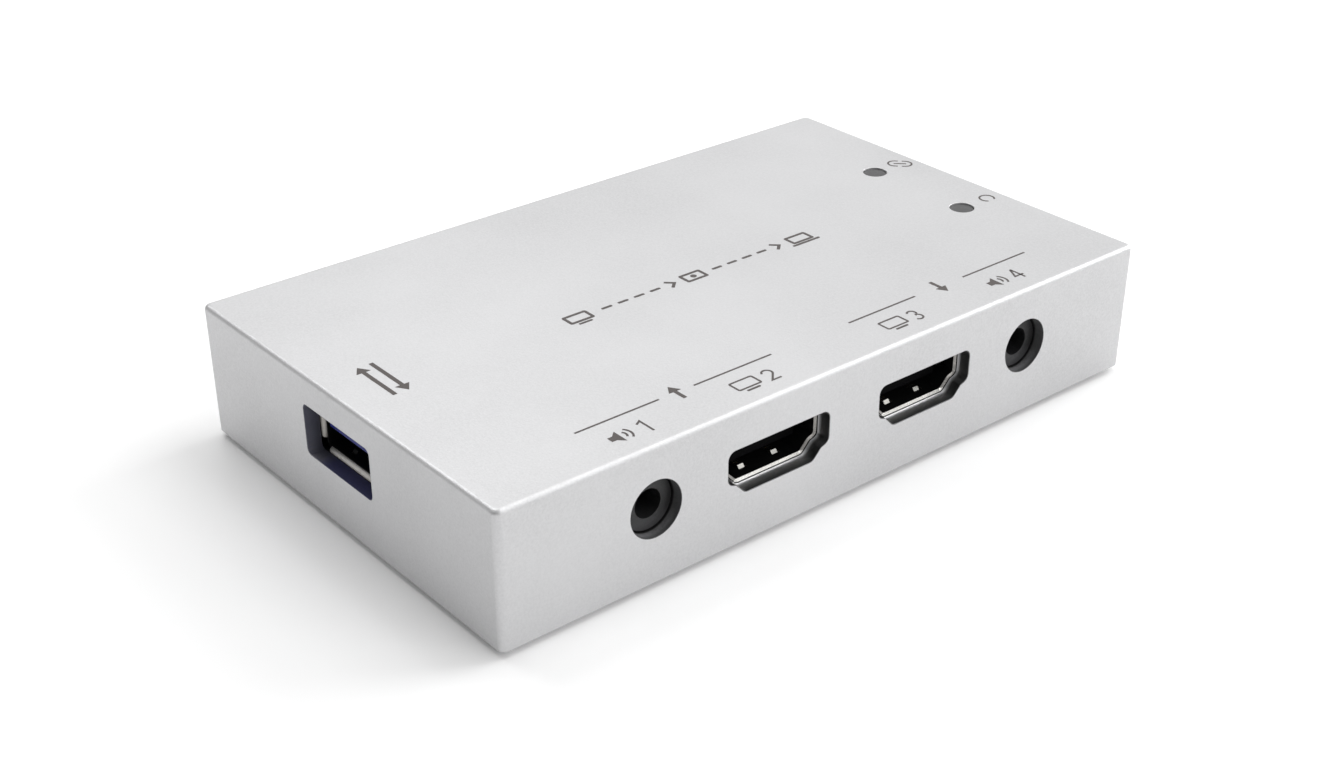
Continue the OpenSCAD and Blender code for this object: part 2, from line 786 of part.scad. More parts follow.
// One latch spring of a shell: it rises from its root and slopes down to its tip
module latch_spring(floor_z) {
    sheet_z = floor_z - shell_sheet / 2;
    bend_y = latch_setback + latch_slope;
    root_y = bend_y + latch_length;
    path = [
        [root_y + latch_root, sheet_z], [root_y, sheet_z],
        [bend_y, floor_z + latch_rise - shell_sheet / 2], [latch_setback, sheet_z]
    ];
    along_x(-latch_width / 2, latch_width / 2) polygon(strip_outline(path, shell_sheet));
}

// The window in a shell's floor that a latch spring moves in
module latch_window(floor_z) {
    half = latch_width / 2 + latch_gap;
    root_y = latch_setback + latch_slope + latch_length;
    block([-half, latch_setback - latch_gap, floor_z - shell_sheet - overlap],
        [half, root_y, floor_z + overlap]);
}

// Shell of a video socket: a folded tube with a flange, two latch springs and four legs
module video_shell() {
    floor_z = -video_height / 2;
    difference() {
        union() {
            along_y(0, video_depth) difference() {
                video_outline(shell_sheet);
                video_outline(0);
            }
            along_y(0, shell_sheet) difference() {
                video_outline(video_flange);
                video_outline(0);
            }
            video_legs(0);
        }
        for (side = [-1, 1]) {
            translate([side * latch_offset, 0, 0]) latch_window(floor_z);
        }
    }
    for (side = [-1, 1]) {
        translate([side * latch_offset, 0, 0]) latch_spring(floor_z);
    }
}

// Contacts of a video socket: two staggered rows that lie in the tongue and end on the board
module video_contact_set() {
    rear_y = video_depth + video_heel + contact_sheet;
    foot_z = -axis_over_board + contact_sheet / 2;
    row_z = tongue_thickness / 2 + contact_proud - contact_sheet / 2;
    for (i = [0 : video_contacts - 1]) {
        strip_z = i % 2 == 0 ? row_z : -row_z;
        path = [
            [tongue_setback + contact_inset, strip_z], [rear_y, strip_z],
            [rear_y, foot_z], [rear_y + solder_foot, foot_z]
        ];
        x = (i - (video_contacts - 1) / 2) * video_pitch;
        along_x(x - video_contact_width / 2, x + video_contact_width / 2)
            polygon(strip_outline(path, contact_sheet));
    }
}

// Insulator of a video socket: the tongue, the block that holds it and a heel on the board
module video_insulator_body() {
    block_y = video_depth - video_block;
    difference() {
        union() {
            along_y(block_y, video_depth) video_outline(0);
            block([-tongue_width / 2, tongue_setback, -tongue_thickness / 2],
                [tongue_width / 2, block_y + overlap, tongue_thickness / 2]);
            block([-tongue_width / 2, video_depth, -axis_over_board],
                [tongue_width / 2, video_depth + video_heel, video_height / 2 - shell_sheet]);
        }
        video_contact_set();
    }
}

module video_in_shell() { color("lightsteelblue") at_video(video_in_x) video_shell(); }
module video_in_insulator() { color("#202020") at_video(video_in_x) video_insulator_body(); }
module video_in_contacts() { color("gold") at_video(video_in_x) video_contact_set(); }
module video_out_shell() { color("lightsteelblue") at_video(video_out_x) video_shell(); }
module video_out_insulator() { color("#202020") at_video(video_out_x) video_insulator_body(); }
module video_out_contacts() { color("gold") at_video(video_out_x) video_contact_set(); }

// Distance of a blade's root from the axis of the plug bore
function root_x() = audio_width / 2 - audio_side_wall - root_radius - root_clear;

// Solder pin and round root of one blade, grown by a clearance where it cuts another piece
module audio_pin(y, side, grow) {
    bottom = -axis_over_board - board_thickness - pin_proud;
    translate([side * root_x(), y, bottom - (grow > 0 ? overlap : 0)])
        cylinder(r = root_radius + grow, h = blade_height / 2 - bottom);
}

// One moving contact: a blade that bends into the plug bore, on its round root
module audio_blade(root_y, bend_y, side) {
    ahead = sign(bend_y - root_y);
    bend_x = audio_bore / 2 - blade_reach + blade_sheet / 2;
    path = [
        [root_x(), root_y], [root_x() - blade_lean, bend_y - ahead * blade_slope],
        [bend_x, bend_y], [root_x() - 2 * blade_lean, bend_y + ahead * blade_end]
    ];
    audio_pin(root_y, side, 0);
    translate([0, 0, -blade_height / 2]) linear_extrude(blade_height) mirror([side < 0 ? 1 : 0, 0])
        polygon(strip_outline(path, blade_sheet));
}

// Tail of the sleeve contact, grown by a clearance where it cuts the board
module sleeve_tail(grow) {
    bottom = -axis_over_board - board_thickness - pin_proud;
    block([-sleeve_width / 2 - grow, sleeve_end - shell_sheet - grow, bottom - grow],
        [sleeve_width / 2 + grow, sleeve_end + grow, sleeve_z()]);
}

// Level of the sleeve contact's face under the plug bore
function sleeve_z() = -audio_bore / 2 - sleeve_drop;

// Sleeve contact: a fixed tab under the plug bore with a tail through the board
module sleeve_contact() {
    block([-sleeve_width / 2, sleeve_start, sleeve_z() - shell_sheet],
        [sleeve_width / 2, sleeve_end, sleeve_z()]);
    sleeve_tail(0);
}

// Body of an audio jack: a round nose and a box with the plug bore and the contact pockets
module audio_body() {
    body_y = case_wall - nose_recess + socket_gap;
    half = audio_width / 2;
    pocket_x = half - audio_side_wall;
    difference() {
        union() {
            rotate([-90, 0, 0]) cylinder(d = nose_diameter, h = body_y + overlap);
            block([-half, body_y, -axis_over_board], [half, audio_length, audio_crown]);
        }
        translate([0, -overlap, 0]) rotate([-90, 0, 0]) cylinder(d = audio_bore, h = bore_wall + 2 * overlap);
        translate([0, bore_wall, 0]) rotate([-90, 0, 0])
            cylinder(d = audio_bore + 2 * chamber_clear, h = bore_depth - bore_wall);
        block([-pocket_x, bore_wall, -pocket_height / 2], [pocket_x, bore_depth, pocket_height / 2]);
        audio_pin(tip_root, 1, root_gap);
        audio_pin(ring_root, -1, root_gap);
        sleeve_contact();
    }
}

module tip_blade() { audio_blade(tip_root, tip_bend, 1); }
module ring_blade() { audio_blade(ring_root, ring_bend, -1); }

module audio_in_body() { color("#262626") at_audio(audio_in_x) audio_body(); }
module audio_in_sleeve_contact() { color("silver") at_audio(audio_in_x) sleeve_contact(); }
module audio_in_ring_contact() { color("khaki") at_audio(audio_in_x) ring_blade(); }
module audio_in_tip_contact() { color("khaki") at_audio(audio_in_x) tip_blade(); }
module audio_out_body() { color("#262626") at_audio(audio_out_x) audio_body(); }
module audio_out_sleeve_contact() { color("silver") at_audio(audio_out_x) sleeve_contact(); }
module audio_out_ring_contact() { color("khaki") at_audio(audio_out_x) ring_blade(); }
module audio_out_tip_contact() { color("khaki") at_audio(audio_out_x) tip_blade(); }

// Legs of the data shell, grown by a clearance where they cut the board
module data_legs(grow) {
    bottom = -data_over_board - board_thickness - pin_proud;
    half = data_width / 2;
    for (side = [0, 1], y = data_leg_places) {
        mirror([side, 0, 0])
            block([half - grow, y - leg_width / 2 - grow, bottom - grow],
                [half + shell_sheet + grow, y + leg_width / 2 + grow, 0]);
    }
}

// One flared lip at the mouth of the data shell, across a wall of the shell
module data_lip(wall, half_length) {
    middle = wall + shell_sheet / 2;
    path = [
        [0, middle + lip_flare], [lip_flare, middle], [2 * lip_flare + shell_sheet, middle]
    ];
    along_x(-half_length, half_length) polygon(strip_outline(path, shell_sheet));
}

// Data shell: a folded tube with four flared lips, four latch springs and four legs
module data_shell() {
    long_wall = data_mouth / 2;
    short_wall = data_width / 2;
    color("lightsteelblue") at_data() {
        difference() {
            union() {
                along_y(lip_flare, data_depth) difference() {
                    data_outline(shell_sheet);
                    data_outline(0);
                }
                data_legs(0);
            }
            for (side = [-1, 1], turn = [0, 180]) {
                rotate([0, turn, 0]) translate([side * latch_offset, 0, 0]) latch_window(-long_wall);
            }
        }
        for (side = [-1, 1], turn = [0, 180]) {
            rotate([0, turn, 0]) translate([side * latch_offset, 0, 0]) latch_spring(-long_wall);
        }
        for (turn = [0, 180]) {
            rotate([0, turn, 0]) data_lip(long_wall, lip_long_half);
            rotate([0, 90 + turn, 0]) data_lip(short_wall, lip_short_half);
        }
    }
}

// Level of the tongue's underside in the data socket
function tongue_z() = data_mouth / 2 - data_tongue_gap - data_tongue;

// Level of the roots of the spring contacts
function spring_z() = tongue_z() + blade_sheet;

// Front and back ends of the slots that the spring contacts move in
function slot_front() = spring_bend - spring_tip - 2 * spring_gap;
function slot_back() = spring_root + spring_root_radius + 2 * spring_gap;

// Tails behind the spring contacts, grown by a clearance where they cut the board
module data_tails(grow) {
    bottom = -data_over_board - board_thickness - pin_proud;
    half = spring_contact_width / 2 + grow;
    y = data_depth + data_heel / 2;
    for (x = spring_contact_places) {
        block([x - half, y - contact_sheet / 2 - grow, bottom - grow],
            [x + half, y + contact_sheet / 2 + grow, spring_z()]);
    }
}

// Fixed contacts of the data socket, and the tails that carry the spring contacts
module data_fixed_set() {
    rear_y = data_depth + data_heel + contact_sheet;
    foot_z = -data_over_board + contact_sheet / 2;
    strip_z = tongue_z() - contact_proud + contact_sheet / 2;
    upper_z = tongue_z() + spring_slot + spring_gap + contact_sheet;
    step_y = slot_front() - spring_gap - contact_sheet;
    for (x = fixed_contact_places) {
        path = [
            [data_tongue_setback + contact_inset, strip_z], [step_y - contact_inset, strip_z],
            [step_y, upper_z], [rear_y, upper_z],
            [rear_y, foot_z], [rear_y + solder_foot, foot_z]
        ];
        along_x(x - fixed_contact_width / 2, x + fixed_contact_width / 2)
            polygon(strip_outline(path, contact_sheet));
    }
    for (x = spring_contact_places) {
        half = spring_contact_width / 2;
        block([x - half, slot_back(), spring_z() - contact_sheet],
            [x + half, data_depth + data_heel / 2, spring_z()]);
    }
    data_tails(0);
}

// Spring contacts of the data socket: four blades that the plug presses up into the tongue
module data_spring_set() {
    bend_z = tongue_z() - spring_rise + blade_sheet / 2;
    blade_z = spring_z() - blade_sheet / 4;
    path = [
        [spring_root, spring_z()], [spring_bend + spring_slope, blade_z],
        [spring_bend, bend_z], [spring_bend - spring_tip, blade_z]
    ];
    for (x = spring_contact_places) {
        along_x(x - spring_contact_width / 2, x + spring_contact_width / 2) {
            polygon(strip_outline(path, blade_sheet));
            translate([spring_root, spring_z()]) circle(spring_root_radius);
        }
    }
}

// Slots in the tongue that the spring contacts move in
module data_spring_slots() {
    for (x = spring_contact_places) {
        half = spring_contact_width / 2 + spring_gap;
        block([x - half, slot_front(), tongue_z() - overlap],
            [x + half, slot_back(), tongue_z() + spring_slot]);
    }
}

// Insulator of the data socket: the tongue, the block that holds it and a heel on the board
module data_insulator() {
    block_y = data_depth - data_block;
    half = data_tongue_width / 2;
    color("mediumblue") at_data() difference() {
        union() {
            along_y(block_y, data_depth + data_heel) data_outline(0);
            block([-half, data_tongue_setback, tongue_z()],
                [half, block_y + overlap, tongue_z() + data_tongue]);
            block([-half, data_depth, -data_over_board], [half, data_depth + data_heel, 0]);
        }
        data_spring_slots();
        data_fixed_set();
    }
}

module data_fixed_contacts() { color("gold") at_data() data_fixed_set(); }
module data_spring_contacts() { color("khaki") at_data() data_spring_set(); }

// Light pipe: a window in the roof, a collar under it and a stem down to its lamp
module light_pipe() {
    window_z = case_z1 - light_sink;
    collar_z = roof_z - light_collar_thickness;
    stem_z = board_z1 + lamp_height + lamp_gap;
    translate([0, 0, stem_z]) cylinder(d = light_stem, h = collar_z - stem_z + overlap);
    translate([0, 0, collar_z]) cylinder(d = light_collar, h = light_collar_thickness);
    translate([0, 0, roof_z - overlap])
        cylinder(r = light_diameter / 2 - light_gap, h = window_z - roof_z + overlap);
}

module link_light_pipe() { color("gray") at_light(1) light_pipe(); }
module record_light_pipe() { color("gray") at_light(-1) light_pipe(); }

// Lamps of the two indicator lights
module indicator_lamps() {
    color("white") for (side = [-1, 1]) {
        at_light(side) translate([0, 0, board_z1]) board_box([lamp_width, lamp_depth, lamp_height]);
    }
}

// Capture processor in the middle of the board
module capture_processor() {
    color("#2a2a2a") on_board(processor_place) board_box([processor_side, processor_side, processor_height]);
}

// Thermal pad between the processor and the heat sink
module thermal_pad() {
    color("lightgray") on_board(processor_place) translate([0, 0, processor_height])
        board_box([pad_side, pad_side, pad_thickness]);
}

// Heat sink with straight fins
module heat_sink() {
    pitch = (sink_side - fin_thickness) / (sink_fins - 1);
    color("#303438") on_board(processor_place) translate([0, 0, processor_height + pad_thickness]) {
        board_box([sink_side, sink_side, sink_base]);
        for (i = [0 : sink_fins - 1]) {
            translate([i * pitch - (sink_side - fin_thickness) / 2, 0, 0])
                board_box([fin_thickness, sink_side, sink_height]);
        }
    }
}

// Row of bent leads along one side of a chip's body, which is at the distance reach
module chip_leads(count, pitch, reach, height) {
    path = [
        [reach - lead_sheet, height / 2], [reach + lead_length / 2, height / 2],
        [reach + lead_length / 2, lead_sheet / 2], [reach + lead_length, lead_sheet / 2]
    ];
    for (i = [0 : count - 1]) {
        x = (i - (count - 1) / 2) * pitch;
        along_x(x - lead_width / 2, x + lead_width / 2) polygon(strip_outline(path, lead_sheet));
    }
}

// Body of a leaded chip, raised off the board
module leaded_body(size) {
    translate([0, 0, lead_sheet / 2]) board_box([size.x, size.y, size.z - lead_sheet / 2]);
}

// Video receiver with leads on four sides
module video_receiver() {
    color("#2a2a2a") on_board(receiver_place) {
        leaded_body([receiver_side, receiver_side, receiver_height]);
        for (turn = [0 : 90 : 270]) {
            rotate(turn) chip_leads(receiver_leads, receiver_pitch, receiver_side / 2, receiver_height);
        }
    }
}

// Video driver for the output socket
module video_driver() {
    color("#2a2a2a") on_board(driver_place) board_box([driver_side, driver_side, flat_chip_height]);
}

// Data bridge between the processor and the data socket
module data_bridge() {
    color("#2a2a2a") on_board(bridge_place) board_box([bridge_side, bridge_side, flat_chip_height]);
}

// Memory chips beside the processor
module memory_chips() {
    color("#2a2a2a") for (place = memory_places) {
        on_board(place) board_box([memory_width, memory_depth, memory_height]);
    }
}

// Program memory with leads on two sides
module program_memory() {
    leads_a_side = 4;
    lead_pitch = 1.27;
    color("#2a2a2a") on_board(flash_place) {
        leaded_body([flash_width, flash_depth, flash_height]);
        for (turn = [0, 180]) {
            rotate(turn) chip_leads(leads_a_side, lead_pitch, flash_depth / 2, flash_height);
        }
    }
}

// Audio converters behind the two jacks
module audio_converters() {
    color("#2a2a2a") for (place = converter_places) {
        on_board(place) board_box([converter_side, converter_side, flat_chip_height]);
    }
}

// Crystals in metal cans
module crystals() {
    color("silver") for (place = crystal_places) {
        on_board(place) board_box([crystal_width, crystal_depth, crystal_height]);
    }
}

// Power inductors
module power_inductors() {
    color("#404040") for (place = inductor_places) {
        on_board(place) board_box([inductor_side, inductor_side, inductor_height]);
    }
}

// Storage capacitors: round cans on square bases
module storage_capacitors() {
    base_side = can_diameter + 2 * can_base_margin;
    color("silver") for (place = can_places) {
        on_board(place) {
            board_box([base_side, base_side, can_base]);
            translate([0, 0, can_base]) cylinder(d = can_diameter, h = can_height);
        }
    }
}

// Voltage regulators with their leads on one side
module voltage_regulators() {
    leads = 3;
    lead_pitch = 2.3;
    color("#2a2a2a") for (place = regulator_places) {
        on_board(place) {
            leaded_body([regulator_width, regulator_depth, regulator_height]);
            chip_leads(leads, lead_pitch, regulator_depth / 2, regulator_height);
        }
    }
}

// Surge guards behind the video sockets
module surge_guards() {
    color("#383838") for (x = [video_in_x, video_out_x], shift = guard_spread) {
        on_board([x + shift, guard_row]) board_box([guard_width, guard_depth, guard_height]);
    }
}

// Resettable fuse beside the data socket
module resettable_fuse() {
    color("seagreen") on_board(fuse_place) board_box([fuse_width, fuse_depth, fuse_height]);
}

// Ceramic capacitors: a row in front of the processor and a column beside it
module ceramic_capacitors() {
    color("tan") for (i = [0 : ceramic_count - 1]) {
        on_board(ceramic_row + [i * row_pitch, 0]) board_box([small_width, small_length, ceramic_height]);
        on_board(ceramic_column + [0, i * row_pitch]) rotate(90)
            board_box([small_width, small_length, ceramic_height]);
    }
}

// Resistors in a row behind the processor
module resistors() {
    color("#222222") for (i = [0 : resistor_count - 1]) {
        on_board(resistor_row + [i * row_pitch, 0]) board_box([small_width, small_length, resistor_height]);
    }
}

upper_case();
bottom_cover();
cover_screws();
rubber_feet();
insulating_sheet();
main_board();
video_in_shell();
video_in_insulator();
video_in_contacts();
video_out_shell();
video_out_insulator();
video_out_contacts();
audio_in_body();
audio_in_sleeve_contact();
audio_in_ring_contact();
audio_in_tip_contact();
audio_out_body();
audio_out_sleeve_contact();
audio_out_ring_contact();
audio_out_tip_contact();
data_shell();
data_insulator();
data_fixed_contacts();
data_spring_contacts();
link_light_pipe();
record_light_pipe();
indicator_lamps();
capture_processor();
thermal_pad();
heat_sink();
video_receiver();
video_driver();
data_bridge();
memory_chips();
program_memory();
audio_converters();
crystals();
power_inductors();
storage_capacitors();
voltage_regulators();
surge_guards();
resettable_fuse();
ceramic_capacitors();
resistors();
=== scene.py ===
"""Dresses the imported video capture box: fine surfaces, finishes, pale studio and the photograph's camera."""

import logging
import math
from dataclasses import dataclass
from enum import Enum, IntEnum
from typing import Callable, Mapping, Sequence

import bmesh
import bpy
import numpy as np
from mathutils import Matrix, Vector
from mathutils.geometry import tessellate_polygon


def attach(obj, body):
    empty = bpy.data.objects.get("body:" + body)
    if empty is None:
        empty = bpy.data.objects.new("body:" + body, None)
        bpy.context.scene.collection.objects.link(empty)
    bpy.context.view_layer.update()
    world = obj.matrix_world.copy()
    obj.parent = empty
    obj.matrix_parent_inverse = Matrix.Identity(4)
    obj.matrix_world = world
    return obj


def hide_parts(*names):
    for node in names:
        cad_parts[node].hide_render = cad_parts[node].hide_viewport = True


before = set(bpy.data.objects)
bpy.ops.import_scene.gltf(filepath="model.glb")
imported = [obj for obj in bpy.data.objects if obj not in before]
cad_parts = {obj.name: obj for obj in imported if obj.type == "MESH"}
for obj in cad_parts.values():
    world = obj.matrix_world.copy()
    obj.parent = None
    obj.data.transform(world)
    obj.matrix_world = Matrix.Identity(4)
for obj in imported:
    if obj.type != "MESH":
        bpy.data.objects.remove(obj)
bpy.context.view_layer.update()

LOG = logging.getLogger("capture_box")
Array = np.ndarray
MM = 0.001
# Points closer than this, in metres, are one point of a mesh
WELD = 2e-7
# Edges that bend by more than this, in degrees, stay crisp
CRISP = 35.0
ROOT = "box"
WHITE = "#ffffff"

# Places that several pieces share, in millimetres
PORT_ROW = 10.25
VIDEO_X = (-11.5, 11.9)
JACK_X = (-29.4, 29.8)
SOCKET_FRONT = -28.65
SOCKET_LEFT = -48.05
DATA_PLACE = (0.4, 11.1)
LIGHT_PLACES = ((42.0, 8.15), (42.0, -8.15))

# Corners of a rectangle in the order of its outline, and which of them the front wall and the left end follow
CORNER_SIGNS = np.array([[1, 1], [-1, 1], [-1, -1], [1, -1]])
FRONT_SIDE, LEFT_SIDE = 2, 1
BOTH_SIDES = (-1.0, 1.0)

# Right half of a video socket's mouth from its upper corner down, and the radii of its bends and kinks
VIDEO_CORNERS = np.array([[7.0, 2.275], [7.0, -0.67], [6.06, -0.99], [4.85, -2.275]])
VIDEO_BEND, VIDEO_KINK, VIDEO_STEPS = 0.35, 1.1, 6
# Width, height and corner of the data socket's cut-out, and radius and points of a jack's cut-out
DATA_CUT = (13.86, 6.48, 0.7)
JACK_CUT = (3.5, 72)

# What the grains of all finishes share
WEAVE_BEND = 0.4
CELL_BLUR = 0.6
BRUSH_STRETCH = (0.03, 1.0, 1.0)
GRAIN_DETAIL, GRAIN_ROUGHNESS, PATCH_DETAIL = 2.0, 0.6, 3.0
PATCH_SPAN = (0.3, 0.7)
GRAIN_SPAN = (0.25, 0.75)


# Colours and nodes

def linear(code: str) -> tuple[float, float, float, float]:
    """Turns a colour written as sRGB hex into linear red, green, blue and alpha.

    Args:
        code: the colour, such as "#c8c8c8".
    Returns:
        Four numbers from 0 to 1: below 0.04045 the code is divided by 12.92, above it follows the 2.4 power.
    """
    parts = np.array([int(code[i:i + 2], 16) for i in (1, 3, 5)]) / 255.0
    curve = np.where(parts <= 0.04045, parts / 12.92, ((parts + 0.055) / 1.055) ** 2.4)
    return (float(curve[0]), float(curve[1]), float(curve[2]), 1.0)


def add_node(tree: bpy.types.NodeTree, kind: str, settings: Mapping | None = None,
             inputs: Mapping | None = None) -> bpy.types.Node:
    """Adds one node to a tree.

    Args:
        tree: the tree that gets the node.
        kind: Blender's name of the node's type.
        settings: properties of the node.
        inputs: sockets by name or number; a socket as the value is linked, anything else is set.
    Returns:
        The new node.
    """
    node = tree.nodes.new(kind)
    for key, value in (settings or {}).items():
        setattr(node, key, value)
    for key, value in (inputs or {}).items():
        if isinstance(value, bpy.types.NodeSocket):
            tree.links.new(value, node.inputs[key])
        else:
            node.inputs[key].default_value = value
    return node


# Finishes

class Grain(Enum):
    """How the small relief of a surface was made."""

    BLASTED = "blasted"
    BRUSHED = "brushed"
    MOULDED = "moulded"
    WOVEN = "woven"


class Axis(Enum):
    """The axes of the object's own coordinates."""

    X = "X"
    Y = "Y"
    Z = "Z"


@dataclass(frozen=True)
class Fade:
    """A colour that a finish turns to along an axis, from one place to another."""

    axis: Axis
    start_mm: float
    end_mm: float
    colour: str


@dataclass(frozen=True)
class Finish:
    """One real material and the way its surface was made, as numbers for its shader."""

    name: str
    colour: str
    second: str
    metallic: float
    roughness: float
    spread: float
    grain: Grain
    grain_mm: float
    relief_mm: float
    patch_mm: float
    extras: tuple[tuple[str, float], ...] = ()
    fades: tuple[Fade, ...] = ()

    def height(self, tree: bpy.types.NodeTree, place: bpy.types.NodeSocket) -> bpy.types.NodeSocket:
        """Draws the relief that the surface's making leaves.

        Args:
            tree: the material's node tree.
            place: socket with the object's own coordinates.
        Returns:
            Socket with the height, from 0 to 1.
        """
        scale = 1.0 / (self.grain_mm * MM)
        if self.grain is Grain.WOVEN:
            # A wave of scale 1 has a period of pi / 10
            bands = [add_node(tree, "ShaderNodeTexWave", {"bands_direction": axis.value},
                              {"Vector": place, "Scale": scale * math.pi / 10.0, "Distortion": WEAVE_BEND})
                     for axis in (Axis.X, Axis.Y)]
            both = add_node(tree, "ShaderNodeMath", {"operation": "MULTIPLY"},
                            {0: bands[0].outputs["Fac"], 1: bands[1].outputs["Fac"]})
            return both.outputs[0]
        if self.grain is Grain.MOULDED:
            cells = add_node(tree, "ShaderNodeTexVoronoi", {"feature": "SMOOTH_F1"},
                             {"Vector": place, "Scale": scale, "Smoothness": CELL_BLUR})
            return cells.outputs["Distance"]
        if self.grain is Grain.BRUSHED:
            stretched = add_node(tree, "ShaderNodeMapping", None, {"Vector": place, "Scale": BRUSH_STRETCH})
            place = stretched.outputs["Vector"]
        noise = add_node(tree, "ShaderNodeTexNoise", None,
                         {"Vector": place, "Scale": scale, "Detail": GRAIN_DETAIL,
                          "Roughness": GRAIN_ROUGHNESS})
        return noise.outputs["Fac"]

    def faded(self, tree: bpy.types.NodeTree, place: bpy.types.NodeSocket,
              colour: bpy.types.NodeSocket) -> bpy.types.NodeSocket:
        """Turns a colour to that of each fade in order, along the fade's axis.

        Args:
            tree: the material's node tree.
            place: socket with the object's own coordinates.
            colour: socket with the colour.
        Returns:
            Socket with the faded colour.
        """
        for fade in self.fades:
            along = add_node(tree, "ShaderNodeSeparateXYZ", None, {0: place}).outputs[fade.axis.value]
            share = add_node(tree, "ShaderNodeMapRange", {"interpolation_type": "SMOOTHSTEP"},
                             {"Value": along, "From Min": fade.start_mm * MM, "From Max": fade.end_mm * MM})
            mixed = add_node(tree, "ShaderNodeMix", {"data_type": "RGBA"},
                             {"Factor": share.outputs[0], "A": colour, "B": linear(fade.colour)})
            colour = mixed.outputs["Result"]
        return colour

    def material(self) -> bpy.types.Material:
        """Makes the Blender material, or finds it where it was made before.

        Its colour and roughness follow the grain's height, and the colour also follows wide soft patches.

        Returns:
            The material.
        """
        found = bpy.data.materials.get(self.name)
        if found is not None:
            return found
        made = bpy.data.materials.new(self.name)
        made.use_nodes = True
        made.diffuse_color = linear(self.colour)
        tree = made.node_tree
        tree.nodes.clear()
        place = add_node(tree, "ShaderNodeTexCoord").outputs["Object"]
        height = self.height(tree, place)
        patches = add_node(tree, "ShaderNodeTexNoise", None,
                           {"Vector": place, "Scale": 1.0 / (self.patch_mm * MM), "Detail": PATCH_DETAIL})
        share = add_node(tree, "ShaderNodeMapRange", None,
                         {"Value": patches.outputs["Fac"], "From Min": PATCH_SPAN[0],
                          "From Max": PATCH_SPAN[1]})
        speck = add_node(tree, "ShaderNodeMath", {"operation": "MULTIPLY"},
                         {0: share.outputs[0], 1: height})
        colour = add_node(tree, "ShaderNodeMix", {"data_type": "RGBA"},
                          {"Factor": speck.outputs[0], "A": linear(self.colour), "B": linear(self.second)})
        rough = add_node(tree, "ShaderNodeMapRange", None,
                         {"Value": height, "From Min": GRAIN_SPAN[0], "From Max": GRAIN_SPAN[1],
                          "To Min": self.roughness - self.spread, "To Max": self.roughness + self.spread})
        bump = add_node(tree, "ShaderNodeBump", None,
                        {"Strength": 1.0, "Distance": self.relief_mm * MM, "Height": height})
        sockets = {"Base Color": self.faded(tree, place, colour.outputs["Result"]), "Metallic": self.metallic,
                   "Roughness": rough.outputs[0], "Normal": bump.outputs["Normal"], **dict(self.extras)}
        shader = add_node(tree, "ShaderNodeBsdfPrincipled", None, sockets)
        add_node(tree, "ShaderNodeOutputMaterial", None, {"Surface": shader.outputs[0]})
        return made


# Anodised aluminium, bead blasted: a soft silver sheen with fine pits, drawn coarser than the real 0.08 mm
CASE_METAL = Finish("anodised_aluminium_blasted", "#d0d0d1", "#c0c0c1", 1.0, 0.53, 0.08,
                    Grain.BLASTED, 0.26, 0.025, 30.0)
# The same aluminium, rolled and brushed before anodising: long fine lines
COVER_METAL = Finish("anodised_aluminium_brushed", "#cfd0d2", "#b9babc", 1.0, 0.38, 0.08,
                     Grain.BRUSHED, 0.2, 0.01, 25.0)
# The same aluminium, milled in the video cut-outs: bright, with painted shade and a painted shadow
# Painted shade darkens it above the bottom wall and toward the outer edge; a near-black painted shadow fills
# the gap at its inner end
DARK_LINING = Finish("aluminium_milled_painted_shade", "#dededf", "#b4b4b5", 1.0, 0.4, 0.06,
                     Grain.BRUSHED, 0.3, 0.01, 4.0, (),
                     (Fade(Axis.Z, 7.6, 8.2, "#9a9a9b"), Fade(Axis.Y, -28.95, -30.5, "#757576"),
                      Fade(Axis.Y, -28.93, -28.87, "#0c0c0c")))
# Black lacquer sprayed in the round cut-outs: dull with a rough tooth, with painted shade and a painted shadow
# at the nose of the jack
# Painted shade darkens it above the bottom of the hole and toward the outer edge; a near-black painted shadow
# fills the gap at the nose
BLACK_LINING = Finish("lacquer_black_sprayed_painted_shade", "#7c7c7e", "#4c4c4d", 0.0, 0.62, 0.1,
                      Grain.BLASTED, 0.3, 0.05, 1.5, (),
                      (Fade(Axis.Z, 7.2, 9.0, "#4c4c4d"), Fade(Axis.Y, -29.8, -30.5, "#48484a"),
                       Fade(Axis.Y, -29.4, -29.15, "#050505")))
# Blue lacquer sprayed in the data cut-out: greyer toward the back and deep blue toward the front
# Painted shade darkens it toward the lips at its inner end
BLUE_LINING = Finish("lacquer_blue_sprayed_painted_shade", "#626372", "#8c8c8f", 0.0, 0.5, 0.08,
                     Grain.BLASTED, 0.3, 0.012, 6.0, (),
                     (Fade(Axis.X, -50.0, -48.1, "#50515c"), Fade(Axis.Y, 6.0, 3.0, "#3d3e62")))
# Stamped steel with nickel plate: bright, a little warm, with faint lines
NICKEL = Finish("steel_nickel_plated", "#cfcec9", "#b0aea8", 1.0, 0.28, 0.08, Grain.BRUSHED, 0.15, 0.008, 3.0)
# The same plate on the coined video mouths: a fine tooth that sparkles, with painted shade above the bottom of
# the mouth, left bright as if lit
COINED_NICKEL = Finish("steel_nickel_coined_painted_shade", "#e6e5e1", "#b8b6b1", 1.0, 0.3, 0.1,
                       Grain.BLASTED, 0.24, 0.02, 2.0, (), (Fade(Axis.Z, 7.95, 8.06, "#8a8885"),))
# The same plate on the data socket's curled lips: grey with fine drawn lines, and painted shade on the lips
# above the lowest one
DRAWN_NICKEL = Finish("steel_nickel_drawn_painted_shade", "#dedbd6", "#b4b1ac", 1.0, 0.42, 0.1,
                      Grain.BRUSHED, 0.2, 0.01, 2.0, (), (Fade(Axis.Z, 8.6, 9.3, "#a9a6a1"),))
# Painted shade: the nickel plate inside the socket shells, drawn near black where little light gets in
PAINTED_SHADE_NICKEL = Finish("steel_nickel_painted_shade", "#161617", "#0c0c0d", 0.6, 0.5, 0.08,
                      Grain.BRUSHED, 0.2, 0.01, 3.0)
